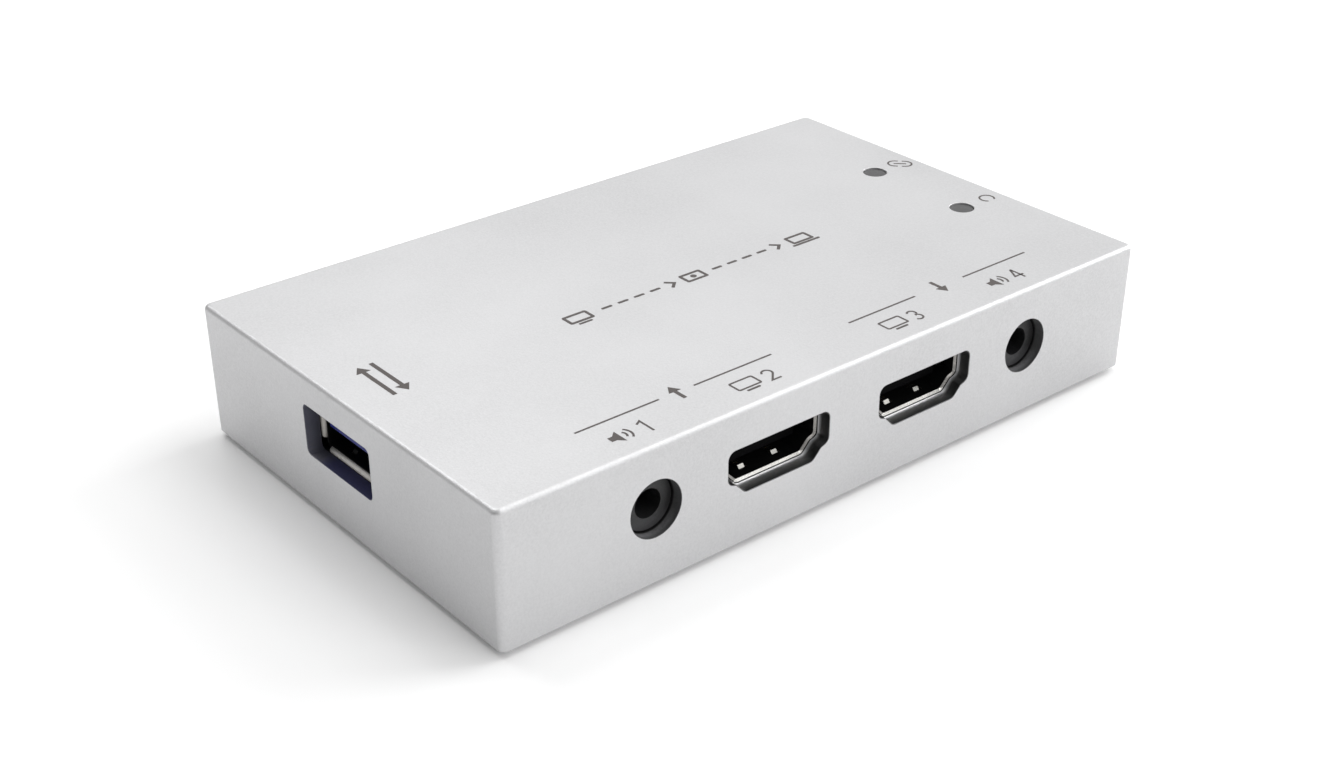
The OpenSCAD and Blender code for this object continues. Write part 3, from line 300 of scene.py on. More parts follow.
# Glass-filled nylon moulded on a spark-eroded tool: black, with small soft cells, and painted shade above its
# lowest part, left greyer as if lit
BLACK_NYLON = Finish("nylon_black_moulded_painted_shade", "#38383a", "#464648", 0.0, 0.48, 0.06,
                     Grain.MOULDED, 0.22, 0.012, 4.0, (("IOR", 1.53),), (Fade(Axis.Z, 7.2, 9.5, "#19191a"),))
# Liquid crystal polymer of the video sockets: deep black and dull
BLACK_LCP = Finish("polymer_black_moulded", "#040405", "#09090a", 0.0, 0.7, 0.06,
                   Grain.MOULDED, 0.2, 0.01, 4.0, (("Specular IOR Level", 0.06),))
# The same nylon as the jacks, in a deep blue
BLUE_NYLON = Finish("nylon_blue_moulded", "#182790", "#121d68", 0.0, 0.42, 0.06,
                    Grain.MOULDED, 0.22, 0.01, 4.0, (("IOR", 1.53),))
# Copper alloy with a gold flash: warm yellow and glossy
GOLD = Finish("bronze_gold_plated", "#d9b45a", "#b98f3c", 1.0, 0.24, 0.06, Grain.BRUSHED, 0.1, 0.004, 2.0)
# Phosphor bronze strip, rolled and tinned: pale straw with faint lines
BRONZE = Finish("bronze_tinned_rolled", "#cfc7a4", "#a99c74", 1.0, 0.3, 0.07, Grain.BRUSHED, 0.1, 0.004, 2.0)
# Polycarbonate light pipe with a smoke tint and a frosted face
SMOKE_PC = Finish("polycarbonate_smoke_frosted", "#464647", "#3c3c3d", 0.0, 0.45, 0.06,
                  Grain.BLASTED, 0.3, 0.01, 2.0, (("IOR", 1.585), ("Transmission Weight", 0.15)))
# Silicone rubber, moulded, with a dull skin
RUBBER = Finish("rubber_black_moulded", "#1b1b1c", "#2a2a2b", 0.0, 0.78, 0.08, Grain.MOULDED, 0.35, 0.02, 3.0)
# Carbon steel screws, oil blackened: near black with a dull gleam
BLACK_STEEL = Finish("steel_oil_blackened", "#3a3a3c", "#232325", 1.0, 0.4, 0.1,
                     Grain.BLASTED, 0.15, 0.006, 1.5)
# Polyester film, calendered: milky and smooth
FILM = Finish("polyester_film_calendered", "#e8e4d4", "#dcd7c4", 0.0, 0.3, 0.05,
              Grain.BLASTED, 0.8, 0.004, 12.0, (("IOR", 1.64), ("Transmission Weight", 0.3)))
# Glass cloth laminate under black solder mask: the cloth shows as a faint weave
LAMINATE = Finish("laminate_black_masked", "#17191a", "#1f2223", 0.0, 0.34, 0.06,
                  Grain.WOVEN, 0.5, 0.008, 10.0, (("Coat Weight", 0.4),))
# Epoxy chip packages, transfer moulded: flat charcoal with tiny cells
EPOXY = Finish("epoxy_black_moulded", "#262627", "#313133", 0.0, 0.55, 0.07, Grain.MOULDED, 0.12, 0.006, 2.0)
# Silicone gap pad, cast: soft grey without gloss
GAP_PAD = Finish("silicone_grey_cast", "#a6a9ac", "#92969a", 0.0, 0.7, 0.06, Grain.BLASTED, 0.4, 0.02, 3.0)
# Extruded aluminium heat sink, black anodised: dark satin with long lines
BLACK_ALU = Finish("anodised_aluminium_black", "#2f3133", "#222426", 0.7, 0.45, 0.07,
                   Grain.BRUSHED, 0.2, 0.01, 4.0)
# Drawn nickel steel cans of the crystals: bright and smooth
CAN_STEEL = Finish("steel_can_drawn", "#cfcfcd", "#b2b2b0", 1.0, 0.26, 0.06, Grain.BRUSHED, 0.15, 0.004, 2.0)
# Sintered ferrite: dark grey, dull and gritty
FERRITE = Finish("ferrite_sintered", "#4a4b4d", "#3a3b3d", 0.0, 0.6, 0.08, Grain.BLASTED, 0.2, 0.015, 1.5)
# Drawn aluminium cans of the storage capacitors: pale and bright
CAN_ALU = Finish("aluminium_can_drawn", "#d4d6d8", "#bcbec0", 1.0, 0.3, 0.06, Grain.BRUSHED, 0.15, 0.006, 3.0)
# Fired ceramic blocks: tan with a low shine
CERAMIC = Finish("ceramic_fired", "#b08a5c", "#9a774c", 0.0, 0.42, 0.06, Grain.BLASTED, 0.1, 0.004, 0.8)
# Epoxy dip of the fuse: green and smooth
FUSE_EPOXY = Finish("epoxy_green_dipped", "#2f7a55", "#256344", 0.0, 0.35, 0.05,
                    Grain.BLASTED, 0.3, 0.006, 1.5)
# Moulded resin of the lamps: milky white
LAMP_RESIN = Finish("resin_white_moulded", "#f0eee6", "#e2dfd3", 0.0, 0.4, 0.05,
                    Grain.BLASTED, 0.2, 0.004, 1.0)
# Screen-printed ink: warm dark grey, dull, with the mesh's slight tooth
INK = Finish("ink_grey_screen_printed", "#4d4745", "#5a5452", 0.0, 0.6, 0.08, Grain.WOVEN, 0.3, 0.003, 1.2)


# Flat outlines, in millimetres

def round_corners(corners: Array, radii: Array, steps: int) -> Array:
    """Rounds the corners of a closed outline.

    Each arc touches the two sides of its corner: its middle lies on the bisector at radius over sine of the
    half angle, and its points turn in equal steps from one side to the other.

    Args:
        corners: corner points, one pair each.
        radii: one radius for each corner.
        steps: steps of each arc.
    Returns:
        Points of the outline, steps + 1 for each corner.
    """
    back = np.roll(corners, 1, axis=0) - corners
    ahead = np.roll(corners, -1, axis=0) - corners
    back /= np.linalg.norm(back, axis=1, keepdims=True)
    ahead /= np.linalg.norm(ahead, axis=1, keepdims=True)
    half = np.arccos((back * ahead).sum(1)) / 2.0
    bisector = (back + ahead) / np.linalg.norm(back + ahead, axis=1, keepdims=True)
    middle = corners + bisector * (radii / np.sin(half))[:, None]
    reach = (radii / np.tan(half))[:, None]
    first = corners + back * reach - middle
    last = corners + ahead * reach - middle
    start = np.arctan2(first[:, 1], first[:, 0])
    turn = (np.arctan2(last[:, 1], last[:, 0]) - start + 3.0 * math.pi) % (2.0 * math.pi) - math.pi
    angle = start[:, None] + turn[:, None] * np.linspace(0.0, 1.0, steps + 1)
    ring = np.stack([np.cos(angle), np.sin(angle)], -1) * radii[:, None, None]
    return (middle[:, None] + ring).reshape(-1, 2)


def rounded_rectangle(width: float, height: float, radius: float, steps: int = 8) -> Array:
    """Outline of a rectangle with round corners, about the origin, from the corner with both signs plus."""
    half = np.array([width, height]) / 2.0
    return round_corners(half * CORNER_SIGNS, np.full(len(CORNER_SIGNS), radius), steps)


def circle(radius: float, count: int = 64) -> Array:
    """Points at equal steps round a circle about the origin."""
    angle = np.arange(count) * 2.0 * math.pi / count
    return radius * np.stack([np.cos(angle), np.sin(angle)], 1)


def grown(corners: Array, grow: float) -> Array:
    """Moves each side of a clockwise outline outward.

    Each corner moves by the sum of its two side normals over one plus their product, which keeps sides even.

    Args:
        corners: corner points in clockwise order.
        grow: the distance.
    Returns:
        The moved corners.
    """
    side = np.roll(corners, -1, axis=0) - corners
    after = np.stack([-side[:, 1], side[:, 0]], 1) / np.linalg.norm(side, axis=1, keepdims=True)
    before = np.roll(after, 1, axis=0)
    return corners + grow * (before + after) / (1.0 + (before * after).sum(1, keepdims=True))


def video_outline(grow: float) -> Array:
    """Outline of a video socket's mouth, grown outward: eight corners, of which the two kinks bend inward.

    Args:
        grow: the distance.
    Returns:
        Points of the outline.
    """
    corners = np.concatenate([VIDEO_CORNERS, VIDEO_CORNERS[::-1] * [-1.0, 1.0]])
    bend, kink = VIDEO_BEND + grow, VIDEO_KINK - grow
    radii = np.array([bend, bend, kink, bend, bend, kink, bend, bend])
    return round_corners(grown(corners, grow), radii, VIDEO_STEPS)


def data_outline(grow: float) -> Array:
    """Outline of the data socket's cut-out, grown outward."""
    width, height, corner = DATA_CUT
    return rounded_rectangle(width + 2.0 * grow, height + 2.0 * grow, corner + grow)


def jack_outline(grow: float) -> Array:
    """Outline of an audio jack's cut-out, grown outward."""
    radius, count = JACK_CUT
    return circle(radius + grow, count)


def ribbon(path: Array, width: float) -> Array:
    """Outline of a line of even width: each point moves both ways by half the width along its mitre.

    Args:
        path: points of the line.
        width: the width.
    Returns:
        The closed outline, out along one side and back along the other.
    """
    step = np.diff(path, axis=0)
    normal = np.stack([-step[:, 1], step[:, 0]], 1) / np.linalg.norm(step, axis=1, keepdims=True)
    before = np.concatenate([normal[:1], normal])
    after = np.concatenate([normal, normal[-1:]])
    mitre = (before + after) / (1.0 + (before * after).sum(1, keepdims=True)) * width / 2.0
    return np.concatenate([path + mitre, (path - mitre)[::-1]])


def bow(middle: Sequence[float], radius: float, start: float, end: float, steps: int = 16) -> Array:
    """Points of an arc from one angle to another, in degrees."""
    angle = np.radians(np.linspace(start, end, steps + 1))
    return np.array(middle) + radius * np.stack([np.cos(angle), np.sin(angle)], 1)


def quarter_round(radius: float, steps: int) -> Array:
    """Pairs along a quarter circle: the radius times one minus the sine, and times one minus the cosine."""
    turn = np.linspace(0.0, math.pi / 2.0, steps + 1)
    return radius * (1.0 - np.stack([np.sin(turn), np.cos(turn)], 1))


# Surfaces

@dataclass
class Surface:
    """A piece of surface: points in millimetres, faces that index them, and the place of its finish."""

    points: Array
    faces: Array
    finish: int = 0


def grid(points: Array, wrap: bool = True, finish: int = 0, skip: Sequence[tuple[int, int]] = ()) -> Surface:
    """Four-sided faces over a grid: face (i, j) joins rows i and i + 1, and columns j and j + 1.

    Args:
        points: rows by columns by three.
        wrap: whether the last column joins the first.
        finish: place of the finish.
        skip: faces (i, j) that are left out.
    Returns:
        The surface.
    """
    rows, columns = points.shape[:2]
    i = np.arange(rows - 1)[:, None]
    j = np.arange(columns if wrap else columns - 1)[None, :]
    below, above = i * columns, (i + 1) * columns
    faces = np.stack([below + j, below + (j + 1) % columns, above + (j + 1) % columns, above + j], -1)
    keep = np.ones(faces.shape[:2], bool)
    for place in skip:
        keep[place] = False
    return Surface(points.reshape(-1, 3), faces[keep], finish)


def flat_face(outline: Array, holes: Sequence[Array] = (), finish: int = 0) -> Surface:
    """Flat face inside an outline and outside its holes, as triangles between the given points.

    Args:
        outline: points of the outer edge, three numbers each.
        holes: points of each hole's edge.
        finish: place of the finish.
    Returns:
        The surface.
    """
    loops = [outline, *holes]
    triangles = tessellate_polygon([[Vector(point) for point in loop] for loop in loops])
    return Surface(np.concatenate(loops), np.array(triangles), finish)


def level(outline: Array, z: float) -> Array:
    """Lays a flat outline at a height."""
    return np.column_stack([outline, np.full(len(outline), z)])


def plate(outline: Array, low: float, high: float, holes: Sequence[Array]) -> list[Surface]:
    """Closed plate: the outline and its holes drawn straight up from one height to another.

    Args:
        outline: outer edge.
        low: height of the underside.
        high: height of the top.
        holes: edges of the holes.
    Returns:
        The underside, the top and one wall for each edge.
    """
    made = [flat_face(level(outline, z), [level(hole, z) for hole in holes]) for z in (low, high)]
    made += [grid(np.stack([level(edge, low), level(edge, high)])) for edge in (outline, *holes)]
    return made


def lathe(profile: Array, middle: Sequence[float]) -> list[Surface]:
    """Turned solid: a profile of (radius, height) pairs carried round an upright axis, with flat ends.

    Args:
        profile: points from one end to the other.
        middle: place of the axis.
    Returns:
        The turned surface and its two ends.
    """
    rows = np.stack([level(circle(radius) + middle, height) for radius, height in profile])
    return [grid(rows), flat_face(rows[0]), flat_face(rows[-1])]


@dataclass(frozen=True)
class WallFrame:
    """A place on a wall: its origin and the directions across and inward; up is Z."""

    origin: tuple[float, float, float]
    across: tuple[float, float, float] = (1.0, 0.0, 0.0)
    inward: tuple[float, float, float] = (0.0, 1.0, 0.0)

    def place(self, outline: Array, depth: float | Array) -> Array:
        """Puts an outline of (across, up) pairs at a depth behind the wall's face, or each point at its own.

        Args:
            outline: the pairs.
            depth: one depth, or one for each pair.
        Returns:
            Points in three numbers each.
        """
        up = np.array([0.0, 0.0, 1.0])
        return (np.array(self.origin) + outline[:, :1] * np.array(self.across)
                + np.reshape(depth, (-1, 1)) * np.array(self.inward) + outline[:, 1:] * up)

    def bar(self, section: Array, left: float, right: float, finish: int = 0) -> list[Surface]:
        """Closed bar: a section of (depth, up) pairs drawn out across from left to right.

        Args:
            section: the pairs.
            left: where the bar starts.
            right: where it ends.
            finish: place of the finish.
        Returns:
            The sides and the two ends.
        """
        ends = np.stack([self.place(np.column_stack([np.full(len(section), x), section[:, 1]]), section[:, 0])
                         for x in (left, right)])
        return [grid(ends, finish=finish), *[flat_face(end, finish=finish) for end in ends]]


def front_wall(x: float, y: float) -> WallFrame:
    """Place in the row of front sockets, at a distance across and at a depth."""
    return WallFrame((x, y, PORT_ROW))


def left_end(x: float) -> WallFrame:
    """Place of the data socket's axis at a depth, seen from the left end."""
    return WallFrame((x, *DATA_PLACE), (0.0, -1.0, 0.0), (1.0, 0.0, 0.0))


class Sketch:
    """Collects surfaces and joins them into one mesh object."""

    def __init__(self, name: str) -> None:
        """Starts an empty sketch with the piece's name."""
        self.name = name
        self.surfaces: list[Surface] = []

    def add(self, *surfaces: Surface) -> None:
        """Adds surfaces."""
        self.surfaces.extend(surfaces)

    def build(self, finishes: Sequence[Finish]) -> bpy.types.Object:
        """Joins the surfaces, closes their seams, turns the faces outward and shades them.

        Args:
            finishes: the piece's finishes, in the order of the surfaces' numbers.
        Returns:
            The object, at the origin.
        """
        starts = np.cumsum([0] + [len(s.points) for s in self.surfaces[:-1]])
        points = np.concatenate([s.points for s in self.surfaces]) * MM
        faces = [row for s, start in zip(self.surfaces, starts) for row in (s.faces + start).tolist()]
        mesh = bpy.data.meshes.new(self.name)
        mesh.from_pydata(points.tolist(), [], faces)
        numbers = np.concatenate([np.full(len(s.faces), s.finish, np.int32) for s in self.surfaces])
        mesh.polygons.foreach_set("material_index", numbers)
        for finish in finishes:
            mesh.materials.append(finish.material())
        joined = bmesh.new()
        joined.from_mesh(mesh)
        bmesh.ops.remove_doubles(joined, verts=joined.verts, dist=WELD)
        bmesh.ops.recalc_face_normals(joined, faces=joined.faces)
        joined.to_mesh(mesh)
        joined.free()
        mesh.shade_smooth()
        mesh.set_sharp_from_angle(angle=math.radians(CRISP))
        piece = bpy.data.objects.new(self.name, mesh)
        bpy.context.scene.collection.objects.link(piece)
        even = piece.modifiers.new("even_normals", "WEIGHTED_NORMAL")
        even.keep_sharp = True
        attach(piece, ROOT)
        LOG.info("%s: %d points, %d faces", self.name, len(mesh.vertices), len(mesh.polygons))
        return piece


# Sub-assemblies

class CasePart(IntEnum):
    """Places of the case's finishes."""

    METAL = 0
    VIDEO_LINING = 1
    JACK_LINING = 2
    DATA_LINING = 3


class ShellPart(IntEnum):
    """Places of a socket shell's finishes."""

    PLATE = 0
    # BLACK is the place of painted shade: faces inside a shell, in its groove and at its inner edges
    BLACK = 1
    MOUTH = 2


@dataclass(frozen=True)
class Cutout:
    """An opening in a wall: its place, its outline for each growth, its lining and its cove's rise."""

    wall: WallFrame
    outline: Callable[[float], Array]
    lining: CasePart
    cove: float = 0.0


@dataclass
class CaseShell:
    """Roof and four walls of the case in one piece, with its cut-outs and the posts under the roof."""

    length: float = 100.0
    depth: float = 61.2
    bottom: float = 0.8
    top: float = 18.08
    wall: float = 1.9
    ceiling: float = 16.1
    corner: float = 1.0
    edge: float = 0.6
    rim_break: float = 0.15
    cut_break: float = 0.08
    break_steps: int = 4
    video_room: float = 0.65
    cove: float = 0.22
    cove_turn: float = 42.0
    cove_land: float = 0.2
    cove_steps: int = 8
    cavity_corner: float = 1.5
    ledge: float = 0.8
    ledge_top: float = 2.3
    steps: int = 8
    fillet_steps: int = 8
    light_radius: float = 1.65
    post_place: tuple[float, float] = (43.9, 24.5)
    post_radius: float = 3.0
    post_end: float = 7.205
    post_bore: float = 1.29
    bore_end: float = 13.4

    def video_cut(self, grow: float) -> Array:
        """Outline of a video socket's cut-out, grown outward."""
        return video_outline(self.video_room + grow)

    def cutouts(self) -> tuple[list[Cutout], list[Cutout]]:
        """Lists the openings.

        Returns:
            Those in the front wall, and those in the left end.
        """
        front = -self.depth / 2.0
        videos = [Cutout(front_wall(x, front), self.video_cut, CasePart.VIDEO_LINING, self.cove)
                  for x in VIDEO_X]
        jacks = [Cutout(front_wall(x, front), jack_outline, CasePart.JACK_LINING) for x in JACK_X]
        return videos + jacks, [Cutout(left_end(-self.length / 2.0), data_outline, CasePart.DATA_LINING)]

    def ring(self, inset: float, z: float) -> Array:
        """Outer outline of the case, inset and laid at a height."""
        return level(rounded_rectangle(self.length - 2.0 * inset, self.depth - 2.0 * inset,
                                       self.corner - inset, self.steps), z)

    def inner_ring(self, grow: float, z: float) -> Array:
        """Outline of the cavity, grown and laid at a height."""
        inner = 2.0 * (grow - self.wall)
        return level(rounded_rectangle(self.length + inner, self.depth + inner,
                                       self.cavity_corner, self.steps), z)

    def edges(self, inner: bool) -> dict[int, list[Array]]:
        """Edges of the openings in one skin.

        Args:
            inner: whether it is the inner skin.
        Returns:
            The edges, by the number of the corner that their wall follows.
        """
        found = {}
        for side, cuts in zip((FRONT_SIDE, LEFT_SIDE), self.cutouts()):
            found[side] = [cut.wall.place(cut.outline(-cut.cove), self.wall) if inner
                           else cut.wall.place(cut.outline(self.cut_break), 0.0) for cut in cuts]
        return found

    def wall_band(self, low: Array, high: Array, holes: Mapping[int, list[Array]]) -> list[Surface]:
        """Upright band between two rings: four round corners and four flat walls with holes.

        Args:
            low: lower ring.
            high: upper ring.
            holes: edges of the holes, by the number of the corner that the wall follows.
        Returns:
            The surfaces.
        """
        count = self.steps + 1
        corners = len(CORNER_SIGNS)
        made = []
        for k in range(corners):
            span = slice(k * count, (k + 1) * count)
            made.append(grid(np.stack([low[span], high[span]]), wrap=False))
            first, last = (k + 1) * count - 1, (k + 1) * count % (corners * count)
            wall = np.stack([low[first], low[last], high[last], high[first]])
            made.append(flat_face(wall, holes.get(k, ())))
        return made

    def opening(self, cut: Cutout) -> Surface:
        """Lining of a cut-out: its edge is broken by a quarter round, and its wall runs straight in.

        Where it has a cove, an arc bends the wall inward near its end, and a short land follows.

        Args:
            cut: the cut-out.
        Returns:
            The lining.
        """
        rows = [cut.wall.place(cut.outline(grow), depth)
                for grow, depth in quarter_round(self.cut_break, self.break_steps)]
        if cut.cove:
            last = math.radians(self.cove_turn)
            radius = cut.cove / (1.0 - math.cos(last))
            start = self.wall - self.cove_land - radius * math.sin(last)
            rows += [cut.wall.place(cut.outline(radius * (math.cos(a) - 1.0)), start + radius * math.sin(a))
                     for a in np.linspace(0.0, last, self.cove_steps + 1)]
        rows.append(cut.wall.place(cut.outline(-cut.cove), self.wall))
        return grid(np.stack(rows), finish=cut.lining)

    def outside(self) -> list[Surface]:
        """Outer skin: broken lower rim, walls, round roof edges and the flat roof with its two light holes.

        Returns:
            The surfaces.
        """
        rim = np.stack([self.ring(inset, self.bottom + rise)
                        for inset, rise in quarter_round(self.rim_break, self.fillet_steps)])
        fillet = np.stack([self.ring(inset, self.top - fall)
                           for fall, inset in quarter_round(self.edge, self.fillet_steps)])
        mouth = circle(self.light_radius + self.cut_break)
        lights = [level(mouth + place, self.top) for place in LIGHT_PLACES]
        walls = self.wall_band(rim[-1], fillet[0], self.edges(inner=False))
        return [grid(rim), *walls, grid(fillet), flat_face(fillet[-1], lights)]

    def inside(self) -> list[Surface]:
        """Inner skin: lower rim, step for the cover, cavity walls and the ceiling with lights and posts.

        Returns:
            The surfaces.
        """
        lip = [self.ring(self.rim_break, self.bottom), self.inner_ring(self.ledge, self.bottom),
               self.inner_ring(self.ledge, self.ledge_top), self.inner_ring(0.0, self.ledge_top)]
        high = self.inner_ring(0.0, self.ceiling)
        places = CORNER_SIGNS * self.post_place
        lights = [level(circle(self.light_radius) + place, self.ceiling) for place in LIGHT_PLACES]
        posts = [level(circle(self.post_radius) + place, self.ceiling) for place in places]
        walls = self.wall_band(lip[-1], high, self.edges(inner=True))
        made = [grid(np.stack(lip)), *walls, flat_face(high, lights + posts)]
        profile = [(self.post_radius, self.ceiling), (self.post_radius, self.post_end),
                   (self.post_bore, self.post_end), (self.post_bore, self.bore_end)]
        for place in places:
            turned, _, tip = lathe(np.array(profile), place)
            made += [turned, tip]
        return made

    def light_holes(self) -> list[Surface]:
        """Walls of the two light holes, with broken upper edges.

        Returns:
            One surface for each hole.
        """
        upper = quarter_round(self.cut_break, self.break_steps) * [1.0, -1.0] + [self.light_radius, self.top]
        profile = np.concatenate([upper, [[self.light_radius, self.ceiling]]])
        return [lathe(profile, place)[0] for place in LIGHT_PLACES]

    def build(self) -> None:
        """Builds the case and puts it in the place of its CAD node."""
        front, left = self.cutouts()
        sketch = Sketch("case_shell")
        sketch.add(*self.outside(), *self.inside(), *self.light_holes())
        sketch.add(*[self.opening(cut) for cut in front + left])
        piece = sketch.build([CASE_METAL, DARK_LINING, BLACK_LINING, BLUE_LINING])
        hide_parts("upper_case")


def flat_part(rows: Array, row: int, column: int) -> Array:
    """Four corners of one face of a grid, in order."""
    after = (row + 1) % len(rows)
    return np.stack([rows[row, column], rows[row, column + 1], rows[after, column + 1], rows[after, column]])


@dataclass
class SocketShell:
    """What the metal shells of the sockets share: folded sheet, latch springs in windows, and legs."""

    name: str
    node: str
    wall: WallFrame
    tube: float = 10.5
    sheet: float = 0.3
    half_height: float = 2.275
    latch_offset: float = 2.53
    latch_half: float = 0.42
    latch_gap: float = 0.2
    latch_front: float = 1.539
    latch_crest: float = 1.963
    latch_back: float = 5.45
    latch_root: float = 6.45
    latch_rise: float = 0.216
    latch_drop: float = 0.29
    latch_steps: int = 8
    leg_places: tuple[float, ...] = (2.0, 8.0)
    leg_half: float = 0.6
    leg_end: float = -5.445
    leg_side: float = 7.0
    spring_part: ShellPart = ShellPart.PLATE
    mouth_finish: Finish = COINED_NICKEL

    def window(self, side: float, z: float) -> Array:
        """Edge of the window that one latch spring moves in.

        Args:
            side: -1 or 1 across.
            z: height of the edge.
        Returns:
            Four corners.
        """
        half = self.latch_half + self.latch_gap
        x = side * self.latch_offset
        near = self.latch_front - self.latch_gap
        corners = np.array([[x - half, z], [x + half, z], [x + half, z], [x - half, z]])
        return self.wall.place(corners, np.array([near, near, self.latch_back, self.latch_back]))

    def spring(self, side: float, flip: float) -> list[Surface]:
        """One latch spring: it rises from root to crest by a cosine ease, and drops straight to the tip.

        Args:
            side: -1 or 1 across.
            flip: 1 for a spring in the floor, -1 for one in the ceiling.
        Returns:
            The closed strip.
        """
        base = -self.half_height - self.sheet / 2.0
        run = np.linspace(0.0, 1.0, self.latch_steps + 1)
        ease = (1.0 - np.cos(run * math.pi)) / 2.0
        root = [[self.latch_root, base]]
        rise = np.stack([self.latch_back + (self.latch_crest - self.latch_back) * run,
                         base + self.latch_rise * ease], 1)
        tip = [[self.latch_front, base - self.latch_drop]]
        section = ribbon(np.concatenate([root, rise, tip]), self.sheet) * [1.0, flip]
        x = side * self.latch_offset
        return self.wall.bar(section, x - self.latch_half, x + self.latch_half, self.spring_part)

    def latched(self, rows: Array, column: int, flip: float) -> list[Surface]:
        """A flat wall of the tube with two latch springs in their windows.

        Args:
            rows: grid of the tube, with its inner face first and its outer face last.
            column: column of the wall.
            flip: 1 for the floor, -1 for the ceiling.
        Returns:
            The two faces, the edges of the windows and the springs.
        """
        inner, outer = flat_part(rows, 0, column), flat_part(rows, len(rows) - 2, column)
        levels = [-flip * self.half_height, -flip * (self.half_height + self.sheet)]
        made = []
        # The inner face gets painted shade, and the outer face keeps the plate
        for face, z, finish in ((inner, levels[0], ShellPart.BLACK), (outer, levels[1], ShellPart.PLATE)):
            made.append(flat_face(face, [self.window(side, z) for side in BOTH_SIDES], finish))
        for side in BOTH_SIDES:
            made.append(grid(np.stack([self.window(side, z) for z in levels])))
            made += self.spring(side, flip)
        return made

    def legs(self) -> list[Surface]:
        """Legs that go through the board, two at each side.

        Returns:
            The closed bars.
        """
        made = []
        for side in BOTH_SIDES:
            x = sorted([side * self.leg_side, side * (self.leg_side + self.sheet)])
            for leg in self.leg_places:
                near, far = leg - self.leg_half, leg + self.leg_half
                section = np.array([[near, self.leg_end], [far, self.leg_end], [far, 0.0], [near, 0.0]])
                made += self.wall.bar(section, x[0], x[1])
        return made

    def finished(self, sketch: Sketch) -> None:
        """Builds the sketch of a shell and puts it in the place of its CAD node.

        Args:
            sketch: the sketch, with all of its surfaces.
        """
        piece = sketch.build([NICKEL, PAINTED_SHADE_NICKEL, self.mouth_finish])
        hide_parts(self.node)


@dataclass
class VideoShell(SocketShell):
    """Metal shell of one video socket: a folded tube with a flared mouth, two latch springs and four legs."""

    flange: float = 0.95
    flange_sheet: float = 0.21
    mouth: float = 0.3
    slant: float = 30.0
    inner_round: float = 0.06
    inner_steps: int = 5
    outer_round: float = 0.04
    outer_steps: int = 6
    start: float = 0.03
    groove: float = 0.25

    def profile(self) -> tuple[Array, int]:
        """Section of the wall as (growth, depth) pairs: in along the tube, over the mouth, round the flange.

        The flare slants forward at an even angle, with an arc at each of its edges.

        Returns:
            The pairs, and the number of the last one of the mouth.
        """
        slant = math.radians(self.slant)
        turn = np.linspace(0.0, math.pi / 2.0 - slant, self.inner_steps + 1)
        inner = np.stack([self.inner_round * (1.0 - np.cos(turn)),
                          self.start - self.inner_round * np.sin(turn)], 1)
        end = np.array([self.mouth, inner[-1, 1] - (self.mouth - inner[-1, 0]) * math.tan(slant)])
        middle = end + self.outer_round * np.array([math.sin(slant), math.cos(slant)])
        angle = np.linspace(1.5 * math.pi - slant, 2.0 * math.pi, self.outer_steps + 1)
        outer = middle + self.outer_round * np.stack([np.cos(angle), np.sin(angle)], 1)
        back = self.groove + self.flange_sheet
        foot = outer[-1, 0]
        rest = [[foot, self.groove], [self.flange, self.groove], [self.flange, back], [self.sheet, back],
                [self.sheet, self.tube]]
        return np.concatenate([[[0.0, self.tube]], inner, outer, rest]), len(inner) + len(outer)

    def build(self) -> None:
        """Builds the shell: its section is carried round the mouth's outline."""
        profile, mouth = self.profile()
        rows = np.stack([self.wall.place(video_outline(grow), depth) for grow, depth in profile])
        # The flat floor lies between the fourth and the fifth corner of the outline
        column = rows.shape[1] // 2 - 1
        sketch = Sketch(self.name)
        # The inside of the tube gets painted shade, near black
        sketch.add(grid(rows[:2], finish=ShellPart.BLACK, skip=[(0, column)]),
                   grid(rows[1:mouth + 1], finish=ShellPart.MOUTH))
        # The side of the mouth and the groove behind it get painted shade, near black, and the rest follows
        # from the flange
        sketch.add(grid(rows[mouth:mouth + 3], finish=ShellPart.BLACK))
        rest = np.concatenate([rows[mouth + 2:], rows[:1]])
        sketch.add(grid(rest, skip=[(len(rest) - 3, column)]))
        sketch.add(*self.latched(rows, column, 1.0), *self.legs())
        self.finished(sketch)


